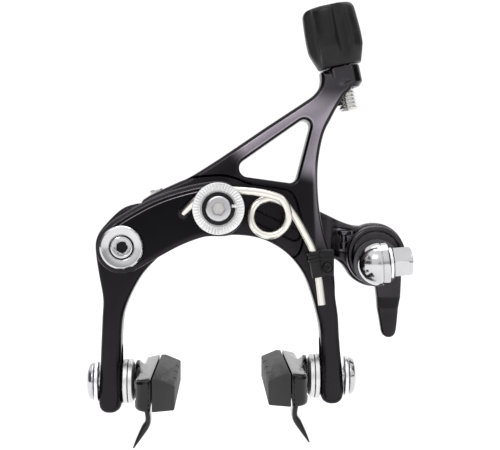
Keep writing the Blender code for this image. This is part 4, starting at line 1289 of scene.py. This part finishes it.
def shoeBody(pad):
    # The shoe's section, drawn in towards the rubber at both rounded ends
    z, face = pad["height"] - 0.3, pad["face"]
    back, front = face + 5.9, face + 10.0
    radius = 3.4
    angles = np.linspace(0, math.pi / 2, 9)
    ends = [(shoeSizes["front"] + radius * (1 - math.cos(a)), math.sin(a)) for a in angles]
    far = [(shoeSizes["front"] + shoeSizes["back"] - y, share) for y, share in reversed(ends)]
    rings = []
    for y, share in ends + far:
        reach = back + 0.35 + (front - back - 0.35) * (0.14 + 0.86 * share)
        drop = 0.35 * (1 - share)
        section = padSection(pad, [(reach, z + 3.8 - drop, 1.2), (reach, z - 3.7 + drop, 1.2),
                                   (back, z - 4.3 + drop, 0.45), (back, z + 4.6 - drop, 0.45)])
        rings.append([(x, y, zz) for x, zz in section])
    return loft(pad["side"] + "Shoe", rings)


def shoulder(pad, top):
    # The round boss at the bolt, which widens smoothly into the back of the shoe
    s, z, face = pad["sign"], pad["height"], pad["face"]
    rings = []
    for share in np.linspace(0, 1, 17):
        depth = top - 0.45 - (top - 0.45 - face - 7.0) * share
        neck = min(1.0, max(0.0, (share - 0.12) / 0.25))
        neck = neck * neck * (3 - 2 * neck)
        halfY, halfZ, power = 5.7 + 14.0 * share ** 1.3, 5.7 - 1.75 * neck, 1.0 - 0.65 * neck
        rings.append([(s * depth, shoeSizes["middle"] + halfY * math.copysign(abs(math.cos(a)) ** power,
                                                                              math.cos(a)),
                       z - 0.25 * share + halfZ * math.copysign(abs(math.sin(a)) ** power, math.sin(a)))
                      for a in np.linspace(0, 2 * math.pi, 96, endpoint=False)])
    lip = [(s * x, shoeSizes["middle"] + radius * math.cos(a), z + radius * math.sin(a))
           for x, radius in ((top, 5.3), (top - 0.12, 5.55)) for a in np.linspace(0, 2 * math.pi, 96,
                                                                                  endpoint=False)]
    return loft("shoulder", [lip[:96], lip[96:]] + rings)


def guideFin(pad):
    # The curved fin under the shoe's end that steers the wheel, thinner towards its tip
    z, face, s = pad["height"] - 0.3, pad["face"], pad["sign"]
    inner = smooth([(face + 6.1, z - 3.0), (face + 5.8, z - 6.0), (face + 6.3, z - 8.0),
                    (face + 8.2, z - 10.7), (face + 9.9, z - 12.9)], 7)
    outer = smooth([(face + 7.8, z - 3.0), (face + 7.4, z - 6.0), (face + 8.4, z - 7.8),
                    (face + 9.7, z - 10.7), (face + 10.4, z - 12.7)], 7)
    rings = []
    for (x1, z1), (x2, z2) in zip(inner, outer):
        middle, half = ((x1 + x2) / 2, (z1 + z2) / 2), math.hypot(x2 - x1, z2 - z1) / 2
        along = Vector((x2 - x1, z2 - z1)).normalized()
        depth = 5.45
        ring = []
        for i in range(32):
            a = 2 * math.pi * i / 32
            side = math.copysign(abs(math.cos(a)) ** 0.7, math.cos(a)) * half
            y = math.copysign(abs(math.sin(a)) ** 0.35, math.sin(a)) * depth
            ring.append((s * (middle[0] + along.x * side), shoeSizes["front"] + 0.6 + depth + y,
                         middle[1] + along.y * side))
        rings.append(ring)
    return loft("fin", rings)


def brakeShoe(pad):
    side, s, face = pad["side"], pad["sign"], pad["face"]
    z = pad["height"]
    bolt = aim((0, shoeSizes["middle"], z), (s, 0, 0))
    screw = aim((0, shoeSizes["front"] + 4.5, z - 0.6), (s, 0, 0))
    inner = pad["inner"] - 0.3
    shoe = shoeBody(pad)
    shoe = carve(shoe, shoulder(pad, inner - 3.3), operation="UNION")
    shoe = carve(shoe, guideFin(pad), operation="UNION")
    window = prism("recess", rounded([(shoeSizes["front"] + 1.9, z - 1.9, 0.7),
                                      (shoeSizes["front"] + 7.4, z - 1.9, 0.7), (shoeSizes["front"] + 7.4,
                                                                                 z + 1.7, 0.7),
                                      (shoeSizes["front"] + 1.9, z + 1.7, 0.7)]),
                   *sorted((s * (face + 9.1), s * (face + 13))),
                   Matrix(((0, 0, 1, 0), (1, 0, 0, 0), (0, 1, 0, 0), (0, 0, 0, 1))))
    shoe = carve(shoe, rod(3.0, face + 7.3, face + 16, bolt, 48),
                 rod(1.1, face + 5, face + 12, screw, 32), window)
    dress(shoe, paints["shoe"], side + "_shoe", angle=34)
    insertScrew = soften([(0, face + 6.2), (0.8, face + 6.2), (0.8, face + 9.6, 0.15), (0, face + 9.6)], 3)
    obj = turned(side + "InsertScrew", insertScrew, screw, 32)
    obj = carve(obj, prism("key", hexagon(0.9), face + 8.8, face + 11, screw))
    dress(obj, paints["steel"], side + "_insert_screw")


def insertShape(pad):
    z, face, s = pad["height"] - 0.3, pad["face"], pad["sign"]
    back = face + 5.6
    rings = []
    for y, shrink in ((-10.8, 0.35), (-10.7, 0.12), (-10.45, 0.0), (37.05, 0.0), (37.3, 0.12), (37.4, 0.35)):
        section = padSection(pad, [(back - shrink * 0.2, z - 3.9 + shrink, 0.35),
                                   (face + shrink, z - 3.4 + shrink, 0.45), (face + shrink,
                                                                             z + 2.6 - shrink, 0.45),
                                   (face + 4.4, z + 4.4 - shrink, 0.45),
                                   (back - shrink * 0.2, z + 4.3 - shrink, 0.25)])
        rings.append([(x, y, zz) for x, zz in section])
    body = loft(pad["side"] + "Insert", rings)
    tools = []
    for i in range(3):
        y = shoeSizes["middle"] + (i - 1) * 11
        x0, x1 = sorted((s * (face - 1), s * (face + 1.0)))
        tools.append(solid("groove", *boxMesh((x0, y - 0.6, z - 6), (x1, y + 0.6, z + 6), 0.3)))
    body = carve(body, *tools)
    finish = wornRubber(pad["side"] + "Rubber", face, s)
    slope = math.atan2(1.8, 4.4)
    tick = solid("tick", *boxMesh((-0.85, -0.22, -0.02), (0.85, 0.22, 0.08), 0.03))
    place(tick, Matrix.Translation((s * (face + 2.6), -8.4, z + 3.62)) @ Matrix.Rotation(-s * slope, 4, "Y"))
    ticks = row(pad["side"] + "Ticks", tick, 9, (0, 1.5, 0), paints["ring"])
    dress(body, finish, pad["side"] + "_insert", angle=30)
    dress(ticks, paints["ring"], (), pad["side"] + "_pad_group", 30)


def padHardware(pad):
    side, s, face = pad["side"], pad["sign"], pad["face"]
    bolt = aim((0, shoeSizes["middle"], pad["height"]), (s, 0, 0))
    outer, inner = pad["outer"] + 0.3, pad["inner"] - 0.3
    head = soften([(0, face + 7.9), (2.1, face + 7.9, 0.3), (2.1, outer + 1.2), (5.0, outer + 1.2, 0.2),
                   (5.0, outer + 1.6, 0.3), (4.5, outer + 2.45, 0.6), (3.2, outer + 3.0, 0.5),
                   (0, outer + 3.05)], 5)
    boltBody = turned(side + "PadBolt", head, bolt, 80)
    boltBody = carve(boltBody, prism("key", hexagon(4.0, 0.3), outer + 1.0, outer + 6, bolt))
    ridge = thread(side + "PadThread", bolt, 2.15, 0.8, face + 8.3, outer - 1)
    dress(join(boltBody, ridge), paints["chrome"], side + "_pad_bolt")
    washerRing(side + "BoltWasher", 2.7, outer, 5.3, outer + 0.9, 0.15, bolt, "washerChrome",
               side + "_bolt_washer")
    convex = [(2.7, inner), (5.85, inner), (6.0, inner - 0.12), (6.0, inner - 1.1)]
    convex += [(6.0 - 3.3 * i / 10, inner - 1.1 - 0.7 * (1 - (1 - i / 10) ** 1.6)) for i in range(1, 11)]
    dress(turned(side + "ConvexWasher", convex, bolt, 80, ring=True), paints["washer"],
          side + "_convex_washer")
    concave = [(2.9 + 3.0 * i / 10, inner - 2.1 + 0.7 * (i / 10) ** 1.6) for i in range(11)]
    concave += [(5.9, inner - 2.35), (5.75, inner - 2.5), (4.7, inner - 2.95), (4.55, inner - 3.0),
                (2.9, inner - 3.0)]
    dress(turned(side + "ConcaveWasher", concave, bolt, 80, ring=True), paints["washer"],
          side + "_concave_washer")


for pad in pads:
    brakeShoe(pad)
    insertShape(pad)
    padHardware(pad)
print("brake shoes made")


# Hidden washers and bushes keep their CAD shape and get a metal of their own

for node, paint in (("centre_thrust_washer", "steel"), ("offset_thrust_washer", "steel"),
                    ("lever_wave_washer", "steel"), ("centre_bush", "bronze"), ("offset_bush", "bronze")):
    obj = cadNodes[node]
    obj.data.materials.clear()
    obj.data.materials.append(paints[paint])


# Stage, light and camera

# Each look is (low, high, value at low, value at high) of a smooth step over a part of the direction
studioLook = {"front": (0.94, 0.995, 1.0, 0.50), "overhead": (-0.3, 0.9, 0.78, 1.05),
              "flags": (0.50, 0.66, 0.0, 0.88), "flagTops": (0.5, 0.75, 1.0, 0.0), "backdrop": 1.05}
softboxes = {"keyLight": {"spot": (-0.35, -0.55, 0.55), "size": (0.35, 0.25), "power": 1.2},
             "fillLight": {"spot": (0.55, -0.25, 0.25), "size": (0.3, 0.5), "power": 0.4},
             "topLight": {"spot": (0.0, 0.15, 0.8), "size": (0.6, 0.6), "power": 2.2}}
stageSizes = {"floor": -0.075, "reach": 3.0, "distance": 0.290, "across": 31.6, "up": -16.3, "focal": 1131.0,
              "width": 500.0, "sensor": 36.0}


def floorPlane():
    reach, z = stageSizes["reach"], stageSizes["floor"]
    mesh = bpy.data.meshes.new("floor")
    mesh.from_pydata([(-reach, -reach, z), (reach, -reach, z), (reach, reach, z), (-reach, reach, z)], [],
                     [(0, 1, 2, 3)])
    floor = bpy.data.objects.new("floor", mesh)
    bpy.context.scene.collection.objects.link(floor)
    paper = Finish("paper", Base_Color=rgba(0.5, 0.5, 0.5), Roughness=0.9, Emission_Color=rgba(1.0, 1.0, 1.0),
                   Emission_Strength=0.64)
    mesh.materials.append(paper.material)


def studio():
    # White to the camera, and in reflections a dim patch in front and a dark flag on each side
    world = bpy.data.worlds.new("studio")
    bpy.context.scene.world = world
    world.use_nodes = True
    tree = world.node_tree
    tree.nodes.clear()

    def node(kind, settings=(), inputs=(), output=0):
        made = tree.nodes.new(kind)
        for key, value in dict(settings).items():
            setattr(made, key, value)
        for key, value in dict(inputs).items():
            plug(tree, made.inputs[key], value)
        return Wire(tree, made.outputs[output])

    direction = node("ShaderNodeTexCoord", output="Generated")
    split = tree.nodes.new("ShaderNodeSeparateXYZ")
    plug(tree, split.inputs[0], direction)
    x, y, z = [Wire(tree, output) for output in split.outputs]

    def ramp(value, low, high, start, end):
        return node("ShaderNodeMapRange", {"interpolation_type": "SMOOTHSTEP"},
                    {"Value": value, "From Min": low, "From Max": high, "To Min": start, "To Max": end})

    look = studioLook
    front = ramp(y * -1.0, *look["front"])
    overhead = ramp(z, *look["overhead"])
    flags = 1.0 - ramp(x * x, *look["flags"]) * ramp(z, *look["flagTops"])
    glow = front * overhead * flags
    camera = node("ShaderNodeLightPath", output="Is Camera Ray")
    strength = glow * (1.0 - camera) + camera * look["backdrop"]
    back = node("ShaderNodeBackground", {}, {"Color": rgba(1.0, 0.995, 1.0), "Strength": strength})
    end = tree.nodes.new("ShaderNodeOutputWorld")
    tree.links.new(back.socket, end.inputs[0])


def softbox(name, spot, size, power):
    data = bpy.data.lights.new(name, "AREA")
    data.shape, data.size, data.size_y, data.energy = "RECTANGLE", *size, power
    lamp = bpy.data.objects.new(name, data)
    lamp.location = spot
    lamp.rotation_euler = (-Vector(spot)).to_track_quat("-Z", "Y").to_euler()
    bpy.context.scene.collection.objects.link(lamp)


def camera():
    s = stageSizes
    yaw, pitch = math.atan(s["across"] / s["focal"]), math.atan(s["up"] / s["focal"])
    data = bpy.data.cameras.new("camera")
    data.sensor_width, data.sensor_fit = s["sensor"], "HORIZONTAL"
    data.lens = s["focal"] / s["width"] * s["sensor"]
    data.clip_start = 0.01
    view = bpy.data.objects.new("camera", data)
    view.location = (0, -s["distance"], 0)
    look = Vector((math.sin(yaw) * math.cos(pitch), math.cos(yaw) * math.cos(pitch), math.sin(pitch)))
    view.rotation_euler = look.to_track_quat("-Z", "Y").to_euler()
    bpy.context.scene.collection.objects.link(view)
    bpy.context.scene.camera = view


floorPlane()
studio()
for name, settings in softboxes.items():
    softbox(name, **settings)
camera()
bpy.context.scene.view_settings.view_transform = "Standard"
